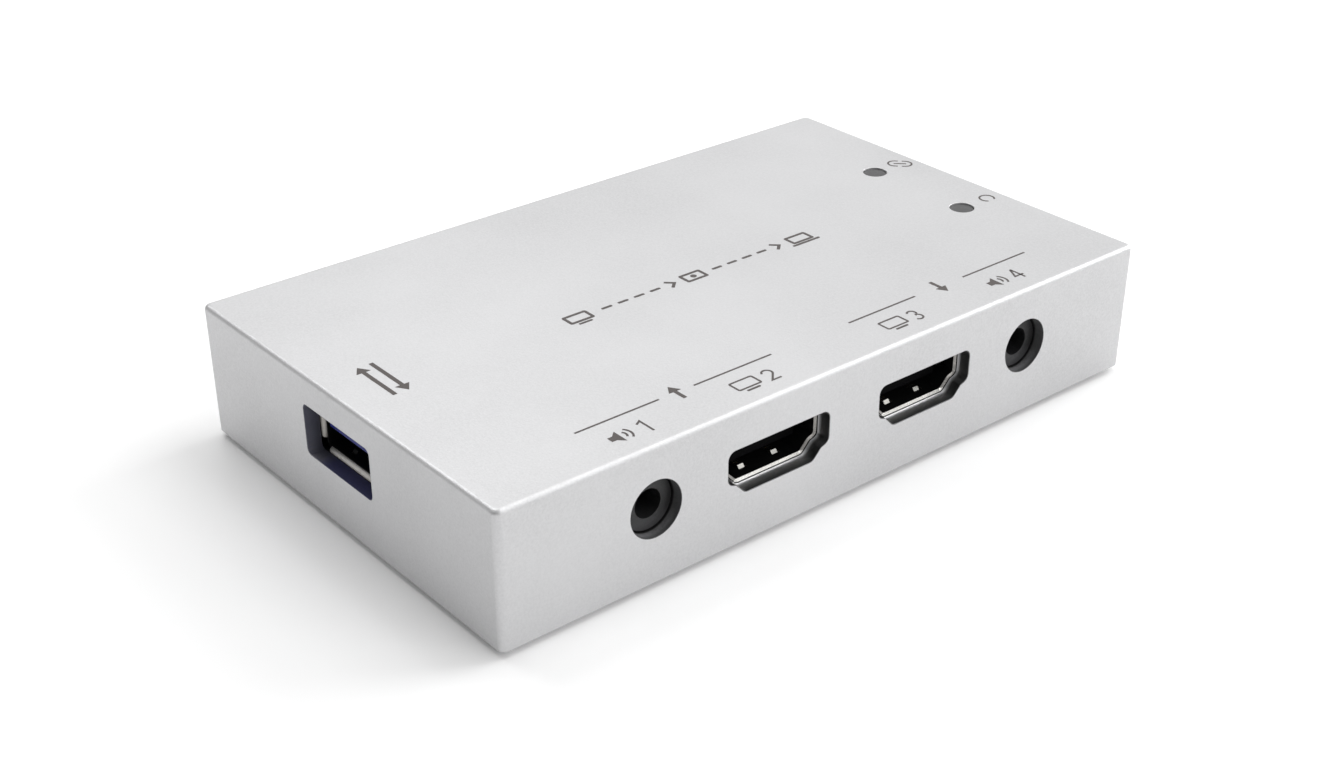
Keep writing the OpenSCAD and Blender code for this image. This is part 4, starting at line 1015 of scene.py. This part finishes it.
@dataclass
class DataShell(SocketShell):
    """Metal shell of the data socket: a folded tube with four curled lips, four latch springs, four legs."""

    tube: float = 13.5
    half_height: float = 2.56
    half_width: float = 6.25
    leg_places: tuple[float, ...] = (3.0, 10.0)
    leg_end: float = -6.295
    leg_side: float = 6.25
    # The springs sit deep in the tube and get painted shade, near black
    spring_part: ShellPart = ShellPart.BLACK
    mouth_finish: Finish = DRAWN_NICKEL
    bend: float = 0.25
    steps: int = 5
    start: float = 0.45
    edge_break: float = 0.05
    lip_long: float = 5.5
    lip_short: float = 1.8
    lip_front: float = 0.1
    lip_radius: float = 0.6
    lip_turn: float = 80.0
    lip_steps: int = 16
    lip_root: float = 1.1
    lip_sheet: float = 0.22
    lip_round: float = 0.3

    def outline(self, grow: float) -> Array:
        """Outline of the tube, grown outward."""
        return rounded_rectangle(2.0 * (self.half_width + grow), 2.0 * (self.half_height + grow),
                                 self.bend + grow, self.steps)

    def lip(self, reach: float, half: float, sign: float, upright: bool) -> list[Surface]:
        """One lip: a strip that runs along a wall and curls outward by an arc, with round corners at its tip.

        Args:
            reach: distance of the wall's inner face from the axis.
            half: half of the lip's length.
            sign: -1 or 1, the side of the axis.
            upright: whether the lip stands at an end of the mouth.
        Returns:
            The strip and its two ends.
        """
        turn = np.radians(np.linspace(0.0, self.lip_turn, self.lip_steps + 1))
        middle = reach + self.sheet / 2.0
        arc = np.stack([self.lip_front + self.lip_radius * (1.0 - np.sin(turn)),
                        middle + self.lip_radius * (1.0 - np.cos(turn))], 1)
        path = np.concatenate([[[self.lip_root, middle]], arc])
        walked = np.concatenate([[0.0], np.cumsum(np.linalg.norm(np.diff(path, axis=0), axis=1))])
        cut = np.clip(1.0 - (walked[-1] - walked) / self.lip_round, 0.0, 1.0)
        length = half - self.lip_round * (1.0 - np.sqrt(1.0 - cut ** 2))
        length = np.concatenate([length, length[::-1]])
        section = ribbon(path, self.lip_sheet)
        ends = []
        for way in BOTH_SIDES:
            pair = np.column_stack([way * length, sign * section[:, 1]])
            ends.append(self.wall.place(pair[:, ::-1] if upright else pair, section[:, 0]))
        caps = [np.stack([end[:len(path)], end[len(path):][::-1]]) for end in ends]
        return [grid(np.stack(ends), finish=ShellPart.MOUTH),
                *[grid(cap, wrap=False, finish=ShellPart.MOUTH) for cap in caps]]

    def build(self) -> None:
        """Builds the shell: its section is carried round the tube's outline, and the lips are added."""
        edge = self.edge_break
        profile = [(0.0, self.tube), (0.0, self.start + edge), (edge, self.start),
                   (self.sheet - edge, self.start), (self.sheet, self.start + edge), (self.sheet, self.tube)]
        rows = np.stack([self.wall.place(self.outline(grow), depth) for grow, depth in profile])
        # The flat ceiling follows the first corner of the outline, and the flat floor the third
        ceiling, floor = self.steps, 3 * self.steps + 2
        flat = [(0, ceiling), (0, floor)]
        sketch = Sketch(self.name)
        # The inner face and the front edge of the tube get painted shade, near black
        sketch.add(grid(rows[:2], finish=ShellPart.BLACK, skip=flat), grid(rows[1:5], finish=ShellPart.BLACK),
                   grid(rows[4:], skip=flat), grid(np.stack([rows[-1], rows[0]])))
        sketch.add(*self.latched(rows, ceiling, -1.0), *self.latched(rows, floor, 1.0))
        for sign in BOTH_SIDES:
            sketch.add(*self.lip(self.half_height, self.lip_long, sign, False),
                       *self.lip(self.half_width, self.lip_short, sign, True))
        sketch.add(*self.legs())
        self.finished(sketch)


@dataclass
class LightPipe:
    """One light pipe: a crowned window in the roof, a collar under it and a stem down to the lamp."""

    name: str
    node: str
    place: tuple[float, float]
    face: float = 17.95
    crown: float = 0.06
    crown_end: float = 0.1
    crown_steps: int = 7
    window: float = 1.6
    edge: float = 0.12
    edge_turn: float = 80.0
    edge_steps: int = 5
    ceiling: float = 16.1
    collar: float = 2.5
    collar_low: float = 15.3
    stem: float = 1.3
    stem_low: float = 8.205

    def build(self) -> None:
        """Turns the pipe and puts it in place; its face rises by one minus the square of the radius."""
        turn = np.radians(np.linspace(0.0, self.edge_turn, self.edge_steps + 1))
        rim = self.face - self.crown - self.edge
        shoulder = np.stack([self.window - self.edge * (1.0 - np.cos(turn)),
                             rim + self.edge * np.sin(turn)], 1)
        share = np.linspace(1.0, self.crown_end, self.crown_steps + 1)[1:]
        crown = np.stack([shoulder[-1, 0] * share, shoulder[-1, 1] + self.crown * (1.0 - share ** 2)], 1)
        low = [[self.stem, self.stem_low], [self.stem, self.collar_low], [self.collar, self.collar_low],
               [self.collar, self.ceiling], [self.window, self.ceiling]]
        sketch = Sketch(self.name)
        sketch.add(*lathe(np.concatenate([low, shoulder, crown]), self.place))
        piece = sketch.build([SMOKE_PC])
        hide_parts(self.node)


@dataclass
class RubberFeet:
    """Four round feet with a rolled edge and a shallow dish underneath."""

    places: tuple[float, float] = (33.9, 24.5)
    radius: float = 4.0
    height: float = 1.3
    roll: float = 0.3
    rim: float = 1.2
    slope: float = 0.8
    dish: float = 0.15
    steps: int = 6

    def build(self) -> None:
        """Turns the feet, with a quarter round and a dish by a cosine ease, and puts them in place."""
        roll = quarter_round(self.roll, self.steps) * [-1.0, 1.0] + [self.radius, 0.0]
        run = np.linspace(0.0, 1.0, self.steps + 1)
        ease = (1.0 - np.cos(run * math.pi)) / 2.0
        dish = np.stack([self.radius - self.rim - self.slope * run, self.dish * ease], 1)[::-1]
        profile = np.concatenate([dish, roll, [[self.radius, self.height]]])
        sketch = Sketch("feet")
        for place in CORNER_SIGNS * self.places:
            sketch.add(*lathe(profile, place))
        piece = sketch.build([RUBBER])
        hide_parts("rubber_feet")


@dataclass
class RoofPrint:
    """Plain marks on the roof: rules, arrows, numbers, small pictures and the signs beside the lights."""

    low: float = 18.075
    high: float = 18.1
    line: float = 0.26
    bold: float = 0.42
    frame_round: tuple[float, float] = (0.3, 0.12)
    head_length: float = 2.6
    head_half: float = 1.7
    title_row: float = -1.45
    title_places: tuple[float, float, float] = (-17.4, 0.55, 18.4)
    title_widths: tuple[float, float, float] = (3.6, 3.4, 3.6)
    title_height: float = 2.2
    dash: float = 1.6
    dashes: int = 4
    dash_step: float = 2.5
    dash_starts: tuple[float, float] = (-13.9, 3.6)
    point_offset: float = 10.9
    rule_row: float = -23.05
    input_rules: tuple[tuple[float, float], ...] = ((-34.4, -22.8), (-17.8, -6.2))
    output_rules: tuple[tuple[float, float], ...] = ((6.2, 17.4), (25.9, 37.35))
    arrow_x: tuple[float, float] = (-20.3, 21.65)
    arrow_rows: tuple[float, float] = (-24.6, -21.5)
    port_arrow: float = 0.5
    picture_scale: float = 1.3
    picture_place: tuple[float, float] = (-1.6, -26.6)
    digit_place: tuple[float, float] = (1.1, -27.9)
    data_rows: tuple[float, float] = (-3.6, 4.4)
    data_x: tuple[float, float] = (-44.3, -42.5)
    data_arrow: float = 0.55
    link_place: tuple[float, float] = (46.9, 8.1)
    record_place: tuple[float, float] = (46.95, -8.15)

    def mark(self, sketch: Sketch, outline: Array, holes: Sequence[Array] = ()) -> None:
        """Adds one printed shape."""
        sketch.add(*plate(outline, self.low, self.high, holes))

    def block(self, sketch: Sketch, middle: Sequence[float], size: Sequence[float], corner: float) -> None:
        """Adds a full rectangle with round corners."""
        self.mark(sketch, rounded_rectangle(size[0], size[1], corner) + middle)

    def rule(self, sketch: Sketch, start: float, end: float) -> None:
        """Adds a straight rule above the sockets."""
        self.mark(sketch, ribbon(np.array([[start, self.rule_row], [end, self.rule_row]]), self.line))

    def arrow(self, sketch: Sketch, tail: Sequence[float], tip: Sequence[float], width: float) -> None:
        """Adds an arrow: a shaft of even width, and a head whose size follows from it.

        Args:
            sketch: the sketch that gets it.
            tail: where it starts.
            tip: where it points.
            width: width of the shaft.
        """
        tail, tip = np.array(tail, float), np.array(tip, float)
        along = (tip - tail) / np.linalg.norm(tip - tail)
        side = np.array([-along[1], along[0]])
        neck = tip - along * self.head_length * width
        shaft, head = side * width / 2.0, side * self.head_half * width
        points = [tail + shaft, neck + shaft, neck + head, tip, neck - head, neck - shaft, tail - shaft]
        self.mark(sketch, np.array(points))

    def frame_mark(self, sketch: Sketch, middle: Sequence[float], size: Sequence[float], line: float) -> None:
        """Adds the outline of a rectangle with round corners.

        Args:
            sketch: the sketch that gets it.
            middle: its middle.
            size: its width and height.
            line: width of the line.
        """
        width, height = size
        outer = rounded_rectangle(width, height, self.frame_round[0]) + middle
        inner = rounded_rectangle(width - 2.0 * line, height - 2.0 * line, self.frame_round[1]) + middle
        self.mark(sketch, outer, [inner])

    def digit(self, sketch: Sketch, number: int, corner: Sequence[float]) -> None:
        """Adds a plain number, 1.2 wide and 2 high before scaling, from arcs and straight strokes.

        Args:
            sketch: the sketch that gets it.
            number: from 1 to 4.
            corner: its lower left corner.
        """
        strokes = {
            1: [[[0.1, 1.6], [0.65, 1.95], [0.65, 0.0]]],
            2: [np.concatenate([bow((0.6, 1.38), 0.5, 165.0, -38.0), [[0.12, 0.13], [1.15, 0.13]]])],
            3: [np.concatenate([bow((0.55, 1.43), 0.44, 150.0, -72.0),
                                bow((0.55, 0.6), 0.47, 72.0, -150.0)])],
            4: [[[0.85, 0.0], [0.85, 1.95]], [[0.8, 1.9], [0.08, 0.6], [1.2, 0.6]]],
        }
        for stroke in strokes[number]:
            self.mark(sketch, ribbon(np.array(stroke) * self.picture_scale + corner, self.line))

    def screen(self, sketch: Sketch, middle: Sequence[float]) -> None:
        """Adds a small picture of a screen on its stand.

        Args:
            sketch: the sketch that gets it.
            middle: its middle.
        """
        (x, y), scale = middle, self.picture_scale
        self.frame_mark(sketch, (x, y + 0.2 * scale), (2.7 * scale, 1.6 * scale), self.line)
        self.block(sketch, (x, y - 0.93 * scale), (1.5 * scale, 0.25 * scale), 0.1 * scale)

    def speaker(self, sketch: Sketch, middle: Sequence[float]) -> None:
        """Adds a small picture of a loudspeaker with two sound waves.

        Args:
            sketch: the sketch that gets it.
            middle: its middle.
        """
        scale = self.picture_scale
        cone = [[-1.1, -0.35], [-0.6, -0.35], [0.0, -0.9], [0.0, 0.9], [-0.6, 0.35], [-1.1, 0.35]]
        self.mark(sketch, np.array(cone) * scale + middle)
        for radius in (0.55, 1.05):
            wave = bow(middle, radius * scale, -45.0, 45.0) + (0.05, 0.0)
            self.mark(sketch, ribbon(wave, self.line))

    def title(self) -> Sketch:
        """Row of plain pictures along the middle: a screen, a box and a laptop, joined by dashes and points.

        Returns:
            The sketch.
        """
        sketch = Sketch("print_middle")
        y = self.title_row
        screen, box, laptop = self.title_places
        for x, width in zip(self.title_places, self.title_widths):
            self.frame_mark(sketch, (x, y), (width, self.title_height), self.bold)
        stand, keyboard, hub = (2.0, 0.36), (4.6, 0.4), circle(0.42, 32)
        self.block(sketch, (screen, y - 1.5), stand, 0.12)
        self.block(sketch, (laptop, y - 1.45), keyboard, 0.15)
        self.mark(sketch, hub + (box, y))
        point = np.array([[-0.5, 0.9], [0.45, 0.0], [-0.5, -0.9]])
        for start in self.dash_starts:
            for k in range(self.dashes):
                middle = (start + self.dash_step * k + self.dash / 2.0, y)
                self.block(sketch, middle, (self.dash, self.bold), 0.18)
            self.mark(sketch, ribbon(point + (start + self.point_offset, y), self.bold))
        return sketch

    def ports(self) -> list[Sketch]:
        """Rules, arrows, pictures and numbers above the front sockets.

        Returns:
            The sketches of the inputs and of the outputs.
        """
        inputs, outputs = Sketch("print_inputs"), Sketch("print_outputs")
        for sketch, rules in ((inputs, self.input_rules), (outputs, self.output_rules)):
            for start, end in rules:
                self.rule(sketch, start, end)
        (near, far), (left, right) = self.arrow_rows, self.arrow_x
        self.arrow(inputs, (left, near), (left, far), self.port_arrow)
        self.arrow(outputs, (right, far), (right, near), self.port_arrow)
        marks = ((inputs, 1, JACK_X[0], self.speaker), (inputs, 2, VIDEO_X[0], self.screen),
                 (outputs, 3, VIDEO_X[1], self.screen), (outputs, 4, JACK_X[1], self.speaker))
        for sketch, number, x, picture in marks:
            picture(sketch, (x + self.picture_place[0], self.picture_place[1]))
            self.digit(sketch, number, (x + self.digit_place[0], self.digit_place[1]))
        return [inputs, outputs]

    def data(self) -> Sketch:
        """Two opposite arrows above the data socket.

        Returns:
            The sketch.
        """
        sketch = Sketch("print_data")
        (near, far), (left, right) = self.data_rows, self.data_x
        self.arrow(sketch, (left, near), (left, far), self.data_arrow)
        self.arrow(sketch, (right, far), (right, near), self.data_arrow)
        return sketch

    def lights(self) -> Sketch:
        """Signs beside the lights: two hooked loops with a bar for the link, and an open ring.

        Returns:
            The sketch.
        """
        sketch = Sketch("print_lights")
        arm, radius, gap, reach = 0.715, 0.945, 0.28, 0.875
        hook = np.concatenate([[[gap, radius]], bow((arm, 0.0), radius, 90.0, -90.0), [[gap, -radius]]])
        bar = np.array([[-reach, 0.0], [reach, 0.0]])
        angle = math.radians(-45.0)
        turn = np.array([[math.cos(angle), math.sin(angle)], [-math.sin(angle), math.cos(angle)]])
        for line in (hook, -hook, bar):
            self.mark(sketch, ribbon(line, self.line) @ turn + self.link_place)
        ring = bow(self.record_place, 1.0, -55.0, 235.0, 40)
        self.mark(sketch, ribbon(ring, self.line))
        return sketch

    def build(self) -> None:
        """Prints the marks."""
        for sketch in (self.title(), *self.ports(), self.data(), self.lights()):
            sketch.build([INK])


class CadDress:
    """Gives every CAD node that stays in view its finish."""

    TABLE: Mapping[str, Finish] = {
        "upper_case": CASE_METAL, "bottom_cover": COVER_METAL, "cover_screws": BLACK_STEEL,
        "rubber_feet": RUBBER, "insulating_sheet": FILM, "main_board": LAMINATE,
        "video_in_shell": NICKEL, "video_out_shell": NICKEL,
        "video_in_insulator": BLACK_LCP, "video_out_insulator": BLACK_LCP,
        "video_in_contacts": GOLD, "video_out_contacts": GOLD,
        "audio_in_body": BLACK_NYLON, "audio_out_body": BLACK_NYLON,
        "audio_in_sleeve_contact": BRONZE, "audio_out_sleeve_contact": BRONZE,
        "audio_in_ring_contact": BRONZE, "audio_out_ring_contact": BRONZE,
        "audio_in_tip_contact": BRONZE, "audio_out_tip_contact": BRONZE,
        "data_shell": NICKEL, "data_insulator": BLUE_NYLON, "data_fixed_contacts": GOLD,
        "data_spring_contacts": BRONZE, "link_light_pipe": SMOKE_PC, "record_light_pipe": SMOKE_PC,
        "indicator_lamps": LAMP_RESIN, "capture_processor": EPOXY, "thermal_pad": GAP_PAD,
        "heat_sink": BLACK_ALU, "video_receiver": EPOXY, "video_driver": EPOXY, "data_bridge": EPOXY,
        "memory_chips": EPOXY, "program_memory": EPOXY, "audio_converters": EPOXY, "crystals": CAN_STEEL,
        "power_inductors": FERRITE, "storage_capacitors": CAN_ALU, "voltage_regulators": EPOXY,
        "surge_guards": EPOXY, "resettable_fuse": FUSE_EPOXY, "ceramic_capacitors": CERAMIC,
        "resistors": EPOXY,
    }

    def build(self) -> None:
        """Assigns the finishes; each node keeps its mesh and its place."""
        for name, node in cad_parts.items():
            finish = self.TABLE[name]
            node.data.materials.clear()
            node.data.materials.append(finish.material())
            LOG.info("%s: %s", name, finish.name)


@dataclass(frozen=True)
class Lamp:
    """A square soft lamp: its place and side in metres, and its power in watts."""

    name: str
    place: tuple[float, float, float]
    size: float
    power: float


@dataclass
class Studio:
    """Pale floor, soft lamps, white surroundings and the camera of the photograph."""

    azimuth: float = -39.691
    elevation: float = 29.753
    roll: float = -0.092
    distance: float = 234.711
    target: tuple[float, float, float] = (-6.158, -4.581, 0.8)
    focal_px: float = 1871.55
    principal_px: tuple[float, float] = (668.234, 423.877)
    image_px: tuple[int, int] = (1336, 777)
    sensor_mm: float = 36.0
    clip: tuple[float, float] = (0.01, 20.0)
    floor_half: float = 3.0
    floor_colour: str = "#fafafa"
    lift: tuple[float, float] = (0.07, 0.62)
    lift_range: tuple[float, float] = (0.3, 1.2)
    bright_side: tuple[float, float, float] = (0.609, -0.508, 0.609)
    bright_range: tuple[float, float] = (-0.5, 0.8)
    bright: tuple[float, float] = (0.03, 0.66)
    backdrop_side: tuple[float, float, float] = (-0.655, 0.668, 0.351)
    backdrop_range: tuple[float, float] = (0.65, 0.97)
    backdrop: tuple[float, float] = (0.0, 0.5)
    lamp_aim: tuple[float, float, float] = (0.0, 0.0, 0.01)
    lamps: tuple[Lamp, ...] = (
        Lamp("top_lamp", (0.36, -0.06, 0.76), 0.4, 1.3),
        Lamp("right_lamp", (0.77, -0.18, 0.41), 0.6, 4.0),
        Lamp("far_lamp", (0.5, 0.6, 0.45), 0.6, 0.7),
        Lamp("back_lamp", (0.0, 0.46, 0.74), 0.5, 2.6),
        Lamp("front_lamp", (0.25, -0.75, 0.45), 0.5, 1.3),
    )

    def eased(self, tree: bpy.types.NodeTree, value: bpy.types.NodeSocket, span: Sequence[float],
              levels: Sequence[float]) -> bpy.types.NodeSocket:
        """Level that a value gives: a smoothstep from the first level to the second over a span.

        Args:
            tree: the node tree.
            value: socket with the value.
            span: values at which the level starts and stops changing.
            levels: the two levels.
        Returns:
            Socket with the level.
        """
        step = add_node(tree, "ShaderNodeMapRange", {"interpolation_type": "SMOOTHSTEP"},
                        {"Value": value, "From Min": span[0], "From Max": span[1],
                         "To Min": levels[0], "To Max": levels[1]})
        return step.outputs[0]

    def seen(self, tree: bpy.types.NodeTree, strength: bpy.types.NodeSocket) -> bpy.types.NodeSocket:
        """Gives a strength to rays that are seen, mirrored or let through, and none to the others.

        Args:
            tree: the node tree.
            strength: socket with the strength.
        Returns:
            Socket with the strength.
        """
        rays = add_node(tree, "ShaderNodeLightPath")
        first = add_node(tree, "ShaderNodeMath", {"operation": "MAXIMUM"},
                         {0: rays.outputs["Is Camera Ray"], 1: rays.outputs["Is Glossy Ray"]})
        either = add_node(tree, "ShaderNodeMath", {"operation": "MAXIMUM"},
                          {0: first.outputs[0], 1: rays.outputs["Is Transmission Ray"]})
        scaled = add_node(tree, "ShaderNodeMath", {"operation": "MULTIPLY"},
                          {0: either.outputs[0], 1: strength})
        return scaled.outputs[0]

    def floor(self) -> None:
        """Lays the floor: matt white, lifted where it is seen or mirrored, more so far from the object."""
        mesh = bpy.data.meshes.new("floor")
        mesh.from_pydata(level(CORNER_SIGNS * self.floor_half, 0.0).tolist(), [], [(0, 1, 2, 3)])
        made = bpy.data.materials.new("paper_white_matt")
        made.use_nodes = True
        tree = made.node_tree
        tree.nodes.clear()
        matt = add_node(tree, "ShaderNodeBsdfDiffuse", None, {"Color": linear(self.floor_colour)})
        place = add_node(tree, "ShaderNodeTexCoord").outputs["Object"]
        away = add_node(tree, "ShaderNodeVectorMath", {"operation": "LENGTH"}, {0: place})
        strength = self.eased(tree, away.outputs["Value"], self.lift_range, self.lift)
        lift = add_node(tree, "ShaderNodeEmission", None,
                        {"Color": linear(WHITE), "Strength": self.seen(tree, strength)})
        both = add_node(tree, "ShaderNodeAddShader", None, {0: matt.outputs[0], 1: lift.outputs[0]})
        add_node(tree, "ShaderNodeOutputMaterial", None, {"Surface": both.outputs[0]})
        mesh.materials.append(made)
        piece = bpy.data.objects.new("floor", mesh)
        bpy.context.scene.collection.objects.link(piece)

    def world(self) -> None:
        """Sets pale surroundings: brighter toward one side and in mirrors behind, and white where seen."""
        world = bpy.data.worlds.new("studio")
        bpy.context.scene.world = world
        world.use_nodes = True
        tree = world.node_tree
        tree.nodes.clear()
        rays = add_node(tree, "ShaderNodeLightPath")
        mirrored = add_node(tree, "ShaderNodeMath", {"operation": "MAXIMUM"},
                            {0: rays.outputs["Is Glossy Ray"], 1: rays.outputs["Is Transmission Ray"]})
        way = add_node(tree, "ShaderNodeTexCoord").outputs["Generated"]
        lobes = []
        for side, span, levels in ((self.bright_side, self.bright_range, self.bright),
                                   (self.backdrop_side, self.backdrop_range, self.backdrop)):
            toward = add_node(tree, "ShaderNodeVectorMath", {"operation": "DOT_PRODUCT"}, {0: way, 1: side})
            lobes.append(self.eased(tree, toward.outputs["Value"], span, levels))
        shown = add_node(tree, "ShaderNodeMath", {"operation": "MULTIPLY_ADD"},
                         {0: lobes[1], 1: mirrored.outputs[0], 2: lobes[0]})
        strength = add_node(tree, "ShaderNodeMath", {"operation": "MAXIMUM"},
                            {0: shown.outputs[0], 1: rays.outputs["Is Camera Ray"]})
        light = add_node(tree, "ShaderNodeBackground", None,
                         {"Color": linear(WHITE), "Strength": strength.outputs[0]})
        add_node(tree, "ShaderNodeOutputWorld", None, {"Surface": light.outputs[0]})

    def hang(self, lamp: Lamp) -> None:
        """Hangs one lamp so that it faces the object.

        Args:
            lamp: the lamp.
        """
        data = bpy.data.lights.new(lamp.name, "AREA")
        data.shape = "SQUARE"
        data.size = lamp.size
        data.energy = lamp.power
        hung = bpy.data.objects.new(lamp.name, data)
        hung.location = lamp.place
        hung.rotation_euler = (Vector(self.lamp_aim) - Vector(lamp.place)).to_track_quat("-Z", "Y").to_euler()
        bpy.context.scene.collection.objects.link(hung)

    def camera(self) -> None:
        """Sets the camera at the photograph's place, angle and framing."""
        turn, rise, roll = (math.radians(x) for x in (self.azimuth, self.elevation, self.roll))
        back = Vector((math.sin(turn) * math.cos(rise), -math.cos(turn) * math.cos(rise), math.sin(rise)))
        level_right = Vector((math.cos(turn), math.sin(turn), 0.0))
        level_up = back.cross(level_right)
        right = level_right * math.cos(roll) + level_up * math.sin(roll)
        up = level_up * math.cos(roll) - level_right * math.sin(roll)
        place = Vector(self.target) * MM + back * self.distance * MM
        data = bpy.data.cameras.new("photograph")
        data.sensor_fit = "HORIZONTAL"
        data.sensor_width = self.sensor_mm
        width, height = self.image_px
        data.lens = self.focal_px * self.sensor_mm / width
        data.shift_x = (width / 2.0 - self.principal_px[0]) / width
        data.shift_y = (self.principal_px[1] - height / 2.0) / width
        data.clip_start, data.clip_end = self.clip
        camera = bpy.data.objects.new("photograph", data)
        rows = [[right[i], up[i], back[i], place[i]] for i in range(3)]
        camera.matrix_world = Matrix([*rows, [0.0, 0.0, 0.0, 1.0]])
        bpy.context.scene.collection.objects.link(camera)
        bpy.context.scene.camera = camera

    def build(self) -> None:
        """Builds the whole studio."""
        self.camera()
        self.floor()
        self.world()
        for lamp in self.lamps:
            self.hang(lamp)
        bpy.context.scene.view_settings.view_transform = "Standard"
        LOG.info("studio ready")


def main() -> None:
    """Builds the studio and every sub-assembly in order."""
    logging.basicConfig(level=logging.INFO, format="%(name)s: %(message)s")
    Studio().build()
    CadDress().build()
    CaseShell().build()
    VideoShell("video_in_mouth", "video_in_shell", front_wall(VIDEO_X[0], SOCKET_FRONT)).build()
    VideoShell("video_out_mouth", "video_out_shell", front_wall(VIDEO_X[1], SOCKET_FRONT)).build()
    DataShell("data_mouth", "data_shell", left_end(SOCKET_LEFT)).build()
    LightPipe("link_light", "link_light_pipe", LIGHT_PLACES[0]).build()
    LightPipe("record_light", "record_light_pipe", LIGHT_PLACES[1]).build()
    RubberFeet().build()
    RoofPrint().build()


if __name__ == "__main__":
    main()
